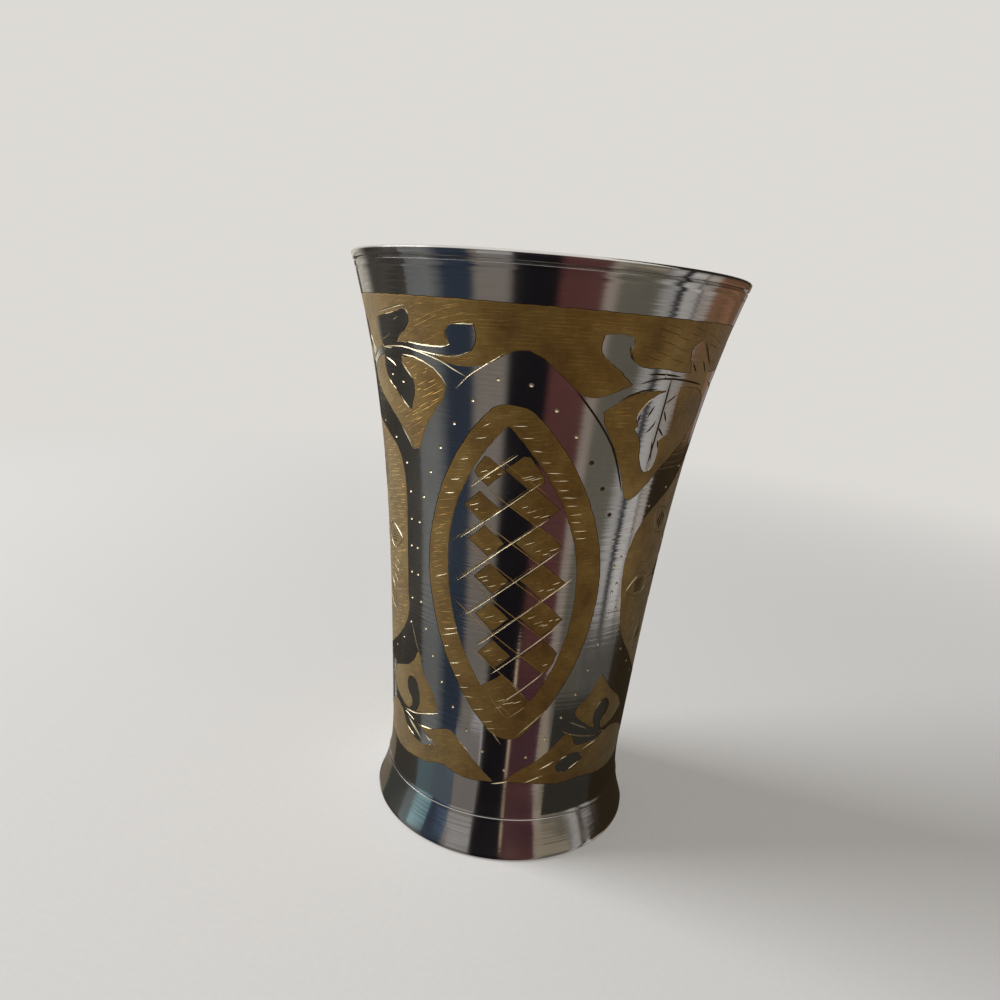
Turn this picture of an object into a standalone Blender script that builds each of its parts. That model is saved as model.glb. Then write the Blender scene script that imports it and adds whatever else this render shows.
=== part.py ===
"""A flared brass tumbler: spun wall, soldered-in floor and turned foot ring.

Units are metres, +Z is up, and the origin is on the axis at the foot's underside.
Every piece is turned: a closed profile in the XZ plane is spun about the Z axis.
"""
import math

import bmesh
import bpy

# Overall form: a straight taper that flares out at the rim and at the foot.
HEIGHT = 0.112
TAPER_BOTTOM_RADIUS = 0.0241
TAPER_TOP_RADIUS = 0.0310
RIM_RADIUS = 0.0382
RIM_FLARE_POWER = 4.16
FOOT_RADIUS = 0.0275
FOOT_FLARE_HEIGHT = 0.0169
FOOT_FLARE_POWER = 2.33

# Wall: sheet thickness, and the groove that sets off the lip.
WALL = 0.0010
GROOVE_DROP = 0.0015
GROOVE_WIDTH = 0.0006
GROOVE_DEPTH = 0.0003

# Foot ring: seam height, the bead that shows as a bright line, the spigot and the bottom edge.
SEAM_HEIGHT = 0.0080
SEAM_BEAD = 0.00025
SEAM_BEAD_HEIGHT = 0.0007
SPIGOT_HEIGHT = 0.0030
SPIGOT_WALL = 0.0009
FOOT_EDGE = 0.0004

# Floor: a pressed disc with a turned-down flange and a slight crown.
FLOOR_SHEET = 0.0010
FLOOR_FLANGE = 0.0030
FLOOR_BEND = 0.0004
FLOOR_CROWN = 0.0006

# Solder: the size of each bead, and the gap kept between pieces that touch.
SOLDER_LEG = 0.0013
CLEARANCE = 0.0003

# Fineness of the turned surfaces.
SEGMENTS = 64
WALL_STEPS = 20
WALL_STEP_POWER = 1.5
FOOT_STEPS = 4
FLOOR_STEPS = 3
ROUND_STEPS = 4
SHARP_ANGLE = math.radians(32)


def outer(z):
    """Radius of the cup's outer surface at height z."""
    taper = TAPER_BOTTOM_RADIUS + (TAPER_TOP_RADIUS - TAPER_BOTTOM_RADIUS) * z / HEIGHT
    rim = (RIM_RADIUS - TAPER_TOP_RADIUS) * (max(z, 0.0) / HEIGHT) ** RIM_FLARE_POWER
    rise = max(1.0 - z / FOOT_FLARE_HEIGHT, 0.0)
    return taper + rim + (FOOT_RADIUS - TAPER_BOTTOM_RADIUS) * rise ** FOOT_FLARE_POWER


def inner(z):
    """Radius of the wall's inner surface at height z."""
    return outer(z) - WALL


def seat(z):
    """Radius of anything that fits inside the wall at height z."""
    return inner(z) - CLEARANCE


def spread(start, end, steps):
    """Evenly spaced values from start to end, both included."""
    return [start + (end - start) * step / steps for step in range(steps + 1)]


def arc(centre_x, centre_z, radius, start, end, steps):
    """Points of an arc, with its angles in degrees from +X towards +Z."""
    angles = [math.radians(angle) for angle in spread(start, end, steps)]
    return [(centre_x + radius * math.cos(angle), centre_z + radius * math.sin(angle)) for angle in angles]


def metal(name, colour, roughness):
    """A plain metallic material."""
    material = bpy.data.materials.new(name)
    material.use_nodes = True
    shader = material.node_tree.nodes["Principled BSDF"]
    shader.inputs["Base Color"].default_value = (*colour, 1.0)
    shader.inputs["Metallic"].default_value = 1.0
    shader.inputs["Roughness"].default_value = roughness
    return material


def turn(name, profile, closed, material):
    """Spin a profile of (radius, height) points about Z into one named object."""
    mesh = bpy.data.meshes.new(name)
    shape = bmesh.new()
    verts = [shape.verts.new((radius, 0.0, height)) for radius, height in profile]
    pairs = list(zip(verts, verts[1:]))
    if closed:
        pairs.append((verts[-1], verts[0]))
    edges = [shape.edges.new(pair) for pair in pairs]
    bmesh.ops.spin(
        shape,
        geom=verts + edges,
        cent=(0.0, 0.0, 0.0),
        axis=(0.0, 0.0, 1.0),
        angle=math.tau,
        steps=SEGMENTS,
    )
    bmesh.ops.remove_doubles(shape, verts=shape.verts, dist=CLEARANCE / 100)
    bmesh.ops.recalc_face_normals(shape, faces=shape.faces)
    shape.to_mesh(mesh)
    shape.free()
    mesh.shade_smooth()
    mesh.set_sharp_from_angle(angle=SHARP_ANGLE)
    mesh.materials.append(material)
    part = bpy.data.objects.new(name, mesh)
    bpy.context.collection.objects.link(part)
    return part


def body_wall():
    """The spun wall, from its rounded lip down to the foot seam."""
    lip = WALL / 2
    lip_z = HEIGHT - lip
    lip_x = outer(lip_z) - lip
    groove_top = HEIGHT - GROOVE_DROP
    groove_low = groove_top - GROOVE_WIDTH
    groove_z = (groove_top + groove_low) / 2
    foot = SEAM_HEIGHT + CLEARANCE / 2
    profile = arc(lip_x, lip_z, lip, 90, 0, ROUND_STEPS)
    profile.append((outer(groove_top), groove_top))
    profile.append((outer(groove_z) - GROOVE_DEPTH, groove_z))
    shares = [share ** WALL_STEP_POWER for share in spread(1.0, 0.0, WALL_STEPS)]
    heights = [foot + (groove_low - foot) * share for share in shares]
    profile += [(outer(z), z) for z in heights]
    profile += [(inner(z), z) for z in reversed(heights)]
    profile += arc(lip_x, lip_z, lip, 180, 90, ROUND_STEPS)[:-1]
    return turn("body_wall", profile, True, metal("plated_wall", (0.62, 0.60, 0.57), 0.16))


def foot_ring():
    """The turned foot: a flared band, a flat underside and a spigot inside the wall."""
    top = SEAM_HEIGHT - CLEARANCE / 2
    spigot_top = SEAM_HEIGHT + SPIGOT_HEIGHT
    thickness = WALL + CLEARANCE + SPIGOT_WALL
    bead_low = top - SEAM_BEAD_HEIGHT
    spigot = spread(spigot_top, top, FOOT_STEPS)
    band = spread(bead_low, FOOT_EDGE, FOOT_STEPS)
    profile = [(seat(z), z) for z in spigot]
    profile.append((outer(top), top))
    profile.append((outer((top + bead_low) / 2) + SEAM_BEAD, (top + bead_low) / 2))
    profile += [(outer(z), z) for z in band]
    profile.append((outer(FOOT_EDGE) - FOOT_EDGE, 0.0))
    profile += [(outer(z) - thickness, z) for z in [0.0] + band[::-1] + [top]]
    profile += [(seat(z) - SPIGOT_WALL, z) for z in reversed(spigot[:-1])]
    return turn("foot_ring", profile, True, metal("plated_foot", (0.62, 0.60, 0.57), 0.18))


def foot_solder_span():
    """Lowest and highest height of the bead between the spigot and the floor's flange."""
    low = SEAM_HEIGHT + SPIGOT_HEIGHT + CLEARANCE
    return low, low + SOLDER_LEG


def floor_height():
    """Height of the floor's upper face at its edge."""
    return foot_solder_span()[1] + CLEARANCE + FLOOR_FLANGE


def foot_solder():
    """The bead under the floor that joins wall, spigot and flange."""
    low, high = foot_solder_span()
    bulge = seat(low) - SPIGOT_WALL - SOLDER_LEG / 4
    profile = [(seat(high), high), (seat(low), low), (seat(low) - SPIGOT_WALL, low)]
    profile += [(bulge, (low + high) / 2), (seat(high) - SPIGOT_WALL, high)]
    return turn("foot_solder", profile, True, metal("solder_under_floor", (0.42, 0.41, 0.40), 0.45))


def floor_disc():
    """The pressed floor: crowned disc, bent corner and turned-down flange."""
    top = floor_height()
    low = top - FLOOR_FLANGE
    corner = FLOOR_BEND + FLOOR_SHEET
    corner_z = top - corner
    corner_x = seat(corner_z) - corner

    def crown(share):
        return FLOOR_CROWN * (1.0 - share ** 2)

    shares = spread(0.0, 1.0, FLOOR_STEPS)
    profile = [(corner_x * share, top + crown(share)) for share in shares]
    profile += arc(corner_x, corner_z, corner, 90, 0, ROUND_STEPS)[1:]
    profile.append((seat(low), low))
    profile.append((seat(low) - FLOOR_SHEET, low))
    profile += arc(corner_x, corner_z, FLOOR_BEND, 0, 90, ROUND_STEPS)
    profile += [(corner_x * share, top - FLOOR_SHEET + crown(share)) for share in reversed(shares[:-1])]
    return turn("floor_disc", profile, False, metal("tinned_floor", (0.66, 0.63, 0.58), 0.30))


def floor_solder():
    """The fillet inside the cup, in the corner of floor and wall."""
    low = floor_height() + CLEARANCE
    high = low + SOLDER_LEG
    hollow_x = seat(low) - FLOOR_BEND - FLOOR_SHEET
    toe = hollow_x - SOLDER_LEG
    hollow_z = low + SOLDER_LEG / 3
    profile = [(seat(high), high), (seat(low), low), (toe, low), (hollow_x, hollow_z)]
    return turn("floor_solder", profile, True, metal("solder_on_floor", (0.50, 0.49, 0.47), 0.40))


def main():
    for thing in list(bpy.data.objects):
        bpy.data.objects.remove(thing, do_unlink=True)
    body_wall()
    foot_ring()
    foot_solder()
    floor_disc()
    floor_solder()


main()
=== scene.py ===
"""Looks of the flared brass tumbler: cut and plated wall, turned foot, floor and solder.

Units are metres unless a name says otherwise, +Z is up, and -Y faces the camera.
The ornament is drawn on the wall laid flat: degrees round the cup (0 faces -Y, positive towards
+X) and thousandths of its height, both turned into flat millimetres before the wall is meshed.
"""
import math
import random
from collections import namedtuple

import bpy
import numpy as np
from mathutils import Matrix, Vector
from mathutils.geometry import delaunay_2d_cdt


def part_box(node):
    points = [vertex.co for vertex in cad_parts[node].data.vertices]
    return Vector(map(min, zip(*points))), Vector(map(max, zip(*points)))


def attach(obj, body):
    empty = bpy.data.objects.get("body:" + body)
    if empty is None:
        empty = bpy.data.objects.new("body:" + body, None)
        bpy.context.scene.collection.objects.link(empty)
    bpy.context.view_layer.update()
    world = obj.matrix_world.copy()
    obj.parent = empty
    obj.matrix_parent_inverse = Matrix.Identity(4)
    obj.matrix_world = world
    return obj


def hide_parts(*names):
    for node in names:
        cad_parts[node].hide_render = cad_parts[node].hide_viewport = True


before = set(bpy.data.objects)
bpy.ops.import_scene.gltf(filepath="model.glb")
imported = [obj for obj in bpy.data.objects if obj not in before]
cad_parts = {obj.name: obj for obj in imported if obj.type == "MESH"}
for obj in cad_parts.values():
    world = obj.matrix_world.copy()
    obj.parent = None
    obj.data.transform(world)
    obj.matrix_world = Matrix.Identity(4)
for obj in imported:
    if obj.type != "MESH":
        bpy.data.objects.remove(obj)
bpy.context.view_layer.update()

# Form of the cup, as in the solids.
HEIGHT = float(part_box("body_wall")[1][2])
TAPER_BOTTOM_RADIUS = 0.0241
TAPER_TOP_RADIUS = 0.0310
RIM_RADIUS = 0.0382
RIM_FLARE_POWER = 4.16
FOOT_RADIUS = 0.0275
FOOT_FLARE_HEIGHT = 0.0169
FOOT_FLARE_POWER = 2.33
WALL = 0.0010
SEAM_HEIGHT = 0.0080
FOOT_WALL = 0.0022
FLOOR_TOP = 0.0159
FLOOR_SHEET = 0.0010
FLOOR_FLANGE = 0.0030
FLOOR_BEND = 0.0004
FLOOR_CROWN = 0.0006
SOLDER_LEG = 0.0013
SPIGOT_TOP = 0.0110

# Lip and the two lathe grooves under it.
LIP_GROOVE_DROP = 0.0015
LIP_GROOVE_WIDTH = 0.0006
LIP_GROOVE_DEPTH = 0.0003
SECOND_GROOVE_DROP = 0.0028
SECOND_GROOVE_WIDTH = 0.0003
SECOND_GROOVE_DEPTH = 0.00003
SKIN_DROP = 0.0036
SKIN_TOP = HEIGHT - SKIN_DROP

# Mesh of the cut wall, in flat millimetres where a name ends in MM.
SEGMENTS = 160
SECTORS = 8
SKIN_ROWS = 70
FLAT_MM_PER_DEGREE = 0.48
HEIGHT_MM = HEIGHT * 1000
OUTLINE_STEP_MM = 0.8
TRENCH_MM = 0.11
TRENCH_BACK_MM = 0.14
TRENCH_DEPTH_MM = 0.055
FIELD_DEPTH_MM = 0.035
HAND_MM = 0.045
CLEAR_OF_CUTS_MM = 0.32
SEGMENT_LIMIT_MM = 2.4
SECTOR_MARGIN_MM = 3.0
HALF_TURN = 180.0
COLUMN_DEGREES = 360.0 / SEGMENTS
COLUMN_MM = COLUMN_DEGREES * FLAT_MM_PER_DEGREE
SEAM_CLEAR = 0.00002
SKIN_LOW = SEAM_HEIGHT + SEAM_CLEAR
WELD_MM = 1e-4
POINT_WELD = 1e-6
TINY = 1e-9
LEAST_MITRE = 0.7
LEAST_COSINE = 0.45
DOT_SIDES = 8
CUT_SHOWS_MM = 0.004
INSIDE_ROWS = 48
INSIDE_ROW_POWER = 1.4
EDGE_SAMPLES = 13
SECTOR_BORDER = 0.4
LIP_STEPS = 10
SKIN_MAP_LOW = 0.30
SKIN_MAP_GAP = 0.02
SHARP_ANGLE = math.radians(32)

# Finishes of the wall, in the order of its materials; the fifth is a dark copy of the brass, painted
# shade.
PLATE_FINISH, BRASS_FINISH, HATCH_FINISH, CUT_FINISH, PAINTED_SHADE_FINISH, INSIDE_FINISH = range(6)

# Strokes of graver and punch; pairs are the ranges that a hand's strokes vary in.
CUT_POINTS = 4
CUT_SWELL = 0.6
DOT_MM = 0.33
DARK_DOT_MM = 0.42
DOT_DEPTH_MM = 0.20
HATCH_KEEP_MM = 0.30
STROKE_SHARES = (0.5, 0.3, 0.16)
STROKE_LENGTHS = (0.6, 1.4)
STROKE_WIDTHS = (0.7, 1.2)
STROKE_DEPTHS = (0.7, 1.3)
STROKE_GAPS_MM = (0.3, 0.8)
STROKE_DRIFT = 0.12
STROKE_BOW_MM = 0.07
STROKE_TAPER = 0.4

# Foot, floor and solder details.
FOOT_EDGE = 0.0004
SEAM_BEAD = 0.00012
SEAM_BEAD_HEIGHT = 0.0006
SPIGOT_GAP = 0.0003
FOOT_ROWS = 16
FOOT_FLAT = 1.6
FLOOR_ROWS = 60
FLOOR_RING = 0.00018
FLOOR_RING_WIDTH = 0.03
FLOOR_RINGS = (0.32, 0.68)
SOLDER_SWELL = 0.00016
SOLDER_WAVES = (3, 7, 11, 23, 41)
SOLDER_GAP = 0.0002
FILLET_WALL_GAP = 0.0001
FILLET_POWER = 2.2
BEAD_REACH = 0.0009

# Looks of the metals: colours as plain reflectance, depths of bumps, stretch of noise along each axis.
PLATE_COLOUR = (0.66, 0.645, 0.63)
PLATE_DULL = (0.56, 0.54, 0.52)
PLATE_ROUGHNESS = 0.12
PLATE_ANISOTROPY = 0.75
BRASS_COLOUR = (0.33, 0.19, 0.042)
BRASS_DARK = (0.20, 0.104, 0.021)
BRASS_LIGHT = (0.46, 0.30, 0.09)
BRASS_METALLIC = 0.75
BRASS_HAZE = 0.25
HAZE_COLOUR = (0.86, 1.0, 0.92)
CUT_COLOUR = (0.86, 0.75, 0.52)
CUT_DULL = (0.62, 0.52, 0.30)
INSIDE_COLOUR = (0.60, 0.57, 0.52)
INSIDE_DULL = (0.50, 0.47, 0.42)
INSIDE_ROUGHNESS = 0.32
FLOOR_COLOUR = (0.62, 0.59, 0.54)
FLOOR_DULL = (0.44, 0.41, 0.36)
INNER_SOLDER = (0.48, 0.47, 0.45)
UNDER_SOLDER = (0.42, 0.41, 0.40)
PLATE_LINES_DEEP = 0.00003
BRASS_STROKES_DEEP = 0.00010
BRASS_GRAIN_DEEP = 0.00002
CUT_GRAIN_DEEP = 0.00001
INSIDE_LINES_DEEP = 0.00002
FLOOR_RINGS_DEEP = 0.00003
SOLDER_GRAIN_DEEP = 0.00008
EVEN = (1.0, 1.0, 1.0)
LATHE_LINES = (0.02, 0.02, 1.0)

# Camera, fitted to the cup's outline in the photograph.
CAMERA_PLACE = (0.0, -1.3678 * HEIGHT, 0.9054 * HEIGHT)
CAMERA_YAW, CAMERA_PITCH, CAMERA_ROLL = -2.117, -13.302, 5.119
CAMERA_LENS = 27.04
CAMERA_SENSOR = 36.0
CAMERA_CLIP = 0.005

# The dome round the cup, as the plate mirrors it: streaks by name, degrees on the wall and colour.
DOME_RADIUS = 0.9
STREAK_HEIGHT = 0.56 * HEIGHT
CEILING_FROM, CEILING_FULL = 0.15, 0.6
CEILING_COLOUR = (0.95, 0.93, 0.88)
COMB_SCALE = 16.0
COMB_TURN = 0.022
COMB_DARKEST = 0.4
STREAKS = [
    ("pale_left", (-72, -62.5), (0.80, 0.755, 0.66)),
    ("dark_left", (-56, -47), (0.088, 0.081, 0.070)),
    ("grey", (-38, -32), (0.25, 0.26, 0.255)),
    ("blue", (-27, -20), (0.045, 0.060, 0.089)),
    ("warm_grey", (-18, -10), (0.295, 0.262, 0.232)),
    ("black", (-8, 2), (0.0135, 0.0115, 0.0145)),
    ("maroon", (4, 14), (0.142, 0.057, 0.053)),
    ("cream", (15, 17), (0.435, 0.37, 0.32)),
    ("olive", (18.5, 28), (0.185, 0.172, 0.138)),
    ("pale_right", (31, 33.4), (0.52, 0.51, 0.495)),
    ("slit", (34.2, 35.8), (0.035, 0.035, 0.045)),
    ("white", (36.6, 40.8), (0.69, 0.665, 0.635)),
    ("thin_slit", (41.5, 41.7), (0.20, 0.18, 0.17)),
    ("cream_right", (42.6, 46), (0.56, 0.505, 0.46)),
    ("rust", (48.5, 60), (0.29, 0.15, 0.088)),
    ("rust_edge", (66, 72), (0.235, 0.135, 0.080)),
]

# Level cards near the cup: name, degrees and thousandths of height that each takes up on the wall, colour.
NEAR_CARD_LEVEL = 0.0002
NEAR_CARD_STEPS = 13
FOOT_CARD_TOP = 71
WAIST_CARD_LOW = 76
NEAR_CARDS = [
    ("left_card", (-76, -56), (280, 800), (0.055, 0.048, 0.036)),
    ("middle_card", (29, 46), (300, 440), (0.09, 0.086, 0.075)),
    ("right_card", (46, 80), (15, 740), (0.028, 0.020, 0.011)),
    ("brown_card", (46.8, 62.5), (742, 908), (0.15, 0.098, 0.047)),
    ("maroon_card", (3.6, 14.6), (75, 330), (0.062, 0.026, 0.032)),
    ("thin_card", (1.9, 2.9), (75, 390), (0.50, 0.38, 0.27)),
]

# Cards mirrored in the foot, which share their upper height.
FOOT_CARDS = [
    ("foot_left_edge", (-83, -66), 6, (0.19, 0.16, 0.12)),
    ("foot_shade", (-66, -48), 8, (0.064, 0.068, 0.060)),
    ("foot_slate", (-48, -42), 8, (0.11, 0.145, 0.15)),
    ("foot_teal", (-42, -33), 8, (0.30, 0.54, 0.60)),
    ("foot_blue", (-33, -22), 14, (0.12, 0.175, 0.27)),
    ("foot_pale", (-22, -10.5), 20, (0.43, 0.42, 0.42)),
    ("foot_cream", (17.5, 34), 16, (0.29, 0.24, 0.175)),
    ("foot_white", (37, 40), 8, (0.37, 0.34, 0.31)),
    ("foot_grey", (41, 46), 8, (0.14, 0.125, 0.10)),
    ("foot_right_edge", (46, 88), 3, (0.028, 0.020, 0.011)),
]

# Cards mirrored in the waist, which share their lower height.
WAIST_CARDS = [
    ("waist_left_edge", (-78, -65), 160, (0.20, 0.165, 0.12)),
    ("waist_shade", (-65, -42), 290, (0.056, 0.052, 0.043)),
    ("waist_teal", (-42, -32.5), 150, (0.095, 0.14, 0.155)),
    ("waist_blue", (-32.5, -21), 150, (0.095, 0.12, 0.14)),
    ("waist_pale", (-21, -10), 240, (0.21, 0.19, 0.18)),
    ("waist_dark", (20, 46), 300, (0.033, 0.030, 0.025)),
    ("waist_right_edge", (46, 78), 200, (0.024, 0.017, 0.009)),
]

# Cards before the dome: name, directions in degrees, heights as shares of its radius, colour.
FAR_CARD_SHARE = 0.96
FAR_CARD_STEPS = 4
FAR_CARDS = [
    ("right_shade", (70, 150), (0.14, 0.95), (0.03, 0.025, 0.02)),
    ("low_pale", (-39, -20), (-0.13, 0.03), (0.43, 0.42, 0.42)),
    ("low_cream", (34, 64), (-0.13, 0.03), (0.33, 0.28, 0.21)),
]

# Cards on the far side of the stage, which share their heights.
BACK_HEIGHTS = (-0.8, 0.12)
BACK_CARDS = [
    ("back_grey", (148, 156), (0.26, 0.25, 0.24)),
    ("back_maroon", (156, 165), (0.13, 0.055, 0.05)),
    ("back_pale", (165, 172), (0.50, 0.47, 0.43)),
    ("back_black", (172, 183), (0.015, 0.014, 0.017)),
    ("back_blue", (183, 192), (0.046, 0.060, 0.090)),
    ("back_warm", (192, 203), (0.30, 0.265, 0.235)),
    ("back_brown", (203, 212), (0.09, 0.08, 0.065)),
]

# Pale surroundings: the floor fades into the backdrop's colour for the camera alone.
FLOOR_DROP = 0.00005
FLOOR_REACH = 3.0
PAPER_DARK = (0.78, 0.77, 0.75)
PAPER_LIGHT = (0.81, 0.80, 0.78)
FADE_FROM, FADE_FULL, FADE_LEAST = 0.12, 0.55, 0.3
BACKDROP_COLOUR = (0.72, 0.70, 0.67)
WORLD_COLOUR = (1.0, 0.96, 0.90)
WORLD_STRENGTH = 0.20

# Soft boxes: place, power in watts and colour; all have one size and point at the cup.
SOFT_BOX = 0.7
LIT_POINT = (0.0, 0.0, 0.05)
SOFT_LIGHTS = [
    ("key_light", (-1.12, 0.05, 0.66), 19.2, (0.97, 0.98, 1.0)),
    ("fill_light", (0.9, -0.5, 0.7), 0.25, (1.0, 0.80, 0.55)),
]


def outer(z):
    """Radius of the cup's outer surface at height z."""
    z = np.asarray(z, float)
    taper = TAPER_BOTTOM_RADIUS + (TAPER_TOP_RADIUS - TAPER_BOTTOM_RADIUS) * z / HEIGHT
    rim = (RIM_RADIUS - TAPER_TOP_RADIUS) * (np.maximum(z, 0.0) / HEIGHT) ** RIM_FLARE_POWER
    rise = np.maximum(1.0 - z / FOOT_FLARE_HEIGHT, 0.0)
    return taper + rim + (FOOT_RADIUS - TAPER_BOTTOM_RADIUS) * rise ** FOOT_FLARE_POWER


def outer_slope(z):
    """How fast the outer radius grows with height."""
    step = 1e-5
    return (outer(z + step) - outer(z - step)) / (2 * step)


def inner(z):
    """Radius of the wall's inner surface at height z."""
    return outer(z) - WALL


# Flat drawing helpers.

def flat(points):
    """(degrees, thousandths of the height) points as flat millimetres."""
    return np.asarray(points, float) * (FLAT_MM_PER_DEGREE, HEIGHT_MM / 1000)


def run_curve(points, step):
    """Points along a smooth curve through flat points, ends included."""
    points = np.asarray(points, float)
    padded = np.vstack([2 * points[0] - points[1], points, 2 * points[-1] - points[-2]])
    drawn = []
    for before, start, end, after in zip(padded, padded[1:], padded[2:], padded[3:]):
        count = max(1, math.ceil(np.linalg.norm(end - start) / step))
        for t in np.arange(count) / count:
            drawn.append(0.5 * (2 * start + (end - before) * t
                                + (2 * before - 5 * start + 4 * end - after) * t ** 2
                                + (3 * start - before - 3 * end + after) * t ** 3))
    drawn.append(points[-1])
    return np.array(drawn)


def outline(*runs):
    """A closed flat outline from smooth runs that meet in corners, turned anticlockwise."""
    return anticlockwise(np.vstack([run_curve(flat(run), OUTLINE_STEP_MM)[:-1] for run in runs]))


def ring(points):
    """A closed smooth flat outline through points, with no corner."""
    points = flat(points)
    wrapped = np.vstack([points[-2:], points, points[:3]])
    drawn = run_curve(wrapped, OUTLINE_STEP_MM)
    first = np.argmin(np.linalg.norm(drawn - points[0], axis=1))
    last = len(drawn) - 1 - np.argmin(np.linalg.norm(drawn[::-1] - points[0], axis=1))
    return anticlockwise(drawn[first:last])


def joined(runs):
    """A closed flat outline from runs that each start where the one before them ends."""
    return outline(*[[before[-1], *run] for before, run in zip([runs[-1], *runs], runs)])


def together(*parts):
    """Arrays spread to one shape, as the coordinates of points."""
    return np.stack(np.broadcast_arrays(*parts), -1)


def circle(centre, radius, count):
    """A closed flat circle."""
    turn = np.arange(count) * math.tau / count
    return centre + radius * together(np.cos(turn), np.sin(turn))


def anticlockwise(loop):
    """A closed loop, turned round where it runs clockwise."""
    x, y = loop.T
    area = 0.5 * np.sum(x * np.roll(y, -1) - y * np.roll(x, -1))
    return loop if area > 0 else loop[::-1]


def left_of(vectors):
    """Flat vectors after a quarter turn to the left."""
    return together(-vectors[..., 1], vectors[..., 0])


def unit(vectors):
    """Vectors brought to a length of one."""
    return vectors / (np.linalg.norm(vectors, axis=-1, keepdims=True) + TINY)


def lengths_along(line):
    """How far along a line each of its points is."""
    return np.concatenate([[0.0], np.cumsum(np.linalg.norm(np.diff(line, axis=0), axis=1))])


def inset(loop, distance):
    """An anticlockwise loop moved inwards by a distance, with short mitres."""
    side = left_of(unit(np.roll(loop, -1, 0) - loop))
    both = side + np.roll(side, 1, 0)
    length = np.linalg.norm(both, axis=1, keepdims=True)
    return loop + distance * both / np.maximum(length, LEAST_MITRE) / np.maximum(length / 2, LEAST_COSINE)


def inside(loop, points):
    """Which points lie inside a closed loop."""
    hit = np.zeros(len(points), bool)
    low, high = loop.min(0), loop.max(0)
    near = np.where(np.all((points >= low) & (points <= high), axis=1))[0]
    if len(near) == 0:
        return hit
    x, y = points[near].T
    count = np.zeros(len(near), int)
    for (x0, y0), (x1, y1) in zip(loop, np.roll(loop, -1, 0)):
        if y0 == y1:
            continue
        crosses = (y0 > y) != (y1 > y)
        count += crosses & (x < x0 + (y - y0) * (x1 - x0) / (y1 - y0))
    hit[near] = count % 2 == 1
    return hit


class Drawing:
    """The ornament of half the wall: brass fields, plated islands in them, cuts and dots."""

    def __init__(self):
        self.shapes = []
        self.cuts = []
        self.dots = []
        self.random = random.Random(7)

    def unsteady(self, loop):
        """A loop as a hand cuts it, a little off its line."""
        return loop + np.array([[self.random.gauss(0.0, HAND_MM) for _ in (0, 1)] for _ in loop])

    def field(self, loop, back=TRENCH_BACK_MM):
        """Brass inside a loop, sunk below the plate with a trench along its edge."""
        loop = self.unsteady(loop)
        self.shapes.append(("field", (loop, inset(loop, TRENCH_MM), inset(loop, TRENCH_MM + back))))

    def island(self, loop):
        """Plate left standing inside a loop, with a trench round it."""
        loop = self.unsteady(loop)
        around = TRENCH_MM + TRENCH_BACK_MM
        self.shapes.append(("island", (loop, inset(loop, -TRENCH_MM), inset(loop, -around))))

    def cut(self, points, width, depth, taper=0.5, finish=CUT_FINISH):
        """A graver stroke along flat points: a V that narrows towards its ends."""
        line = run_curve(points, SEGMENT_LIMIT_MM) if len(points) > 2 else np.asarray(points, float)
        if len(line) < CUT_POINTS:
            shares = np.linspace(0.0, 1.0, CUT_POINTS)
            along = np.linspace(0.0, 1.0, len(line))
            line = np.stack([np.interp(shares, along, line[:, k]) for k in (0, 1)], -1)
        share = np.linspace(0.0, 1.0, len(line))
        half = width / 2 * np.minimum(1.0, np.minimum(share, 1 - share) / taper * 2) ** CUT_SWELL
        half[0] = half[-1] = 0.0
        self.cuts.append((line, half, depth, finish))

    def strokes(self, lines, style):
        """Cuts of one style along lines of the ornament."""
        for line in lines:
            self.cut(flat(line), **style)

    def dot(self, point, radius=DOT_MM, finish=CUT_FINISH):
        """A punched dot at a flat point."""
        self.dots.append((point, radius, DOT_DEPTH_MM, finish))

    def hatch(self, loop, holes, leans, length, spacing=0.62, width=0.20, depth=0.022,
              finish=HATCH_FINISH):
        """Short strokes that fill a loop, clear of its edge and of holes; leans are (degrees, lean)."""
        draw = self.random
        low, high = loop.min(0), loop.max(0)
        places = []
        for level in np.arange(low[1] + HATCH_KEEP_MM, high[1], spacing):
            at = low[0] - draw.uniform(0.0, length)
            while at < high[0]:
                size = length * draw.uniform(*STROKE_LENGTHS)
                drift = draw.uniform(-STROKE_DRIFT, STROKE_DRIFT) * spacing
                places.append((at + size / 2, level + drift, size))
                at += size + draw.uniform(*STROKE_GAPS_MM)
        middles, sizes = np.split(np.array(places), [2], axis=1)
        tilt = np.radians(np.interp(middles[:, 0] / FLAT_MM_PER_DEGREE, *np.array(leans, float).T))
        heading = together(np.cos(tilt), np.sin(tilt))
        room = inset(loop, HATCH_KEEP_MM)
        holes = [inset(hole, -HATCH_KEEP_MM) for hole in holes]
        left = np.ones(len(places), bool)
        for share in STROKE_SHARES:
            reach = heading * sizes * share
            starts, ends = middles - reach, middles + reach
            fits = left & inside(room, starts) & inside(room, ends)
            for hole in holes:
                fits &= ~inside(hole, starts) & ~inside(hole, ends) & ~inside(hole, middles)
            left &= ~fits
            for index in np.where(fits)[0]:
                bow = left_of(heading[index]) * draw.uniform(-STROKE_BOW_MM, STROKE_BOW_MM)
                self.cut([starts[index], middles[index] + bow, ends[index]],
                         width * draw.uniform(*STROKE_WIDTHS), depth * draw.uniform(*STROKE_DEPTHS),
                         STROKE_TAPER, finish)


# The ornament itself, in degrees round the cup and thousandths of its height.

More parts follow.
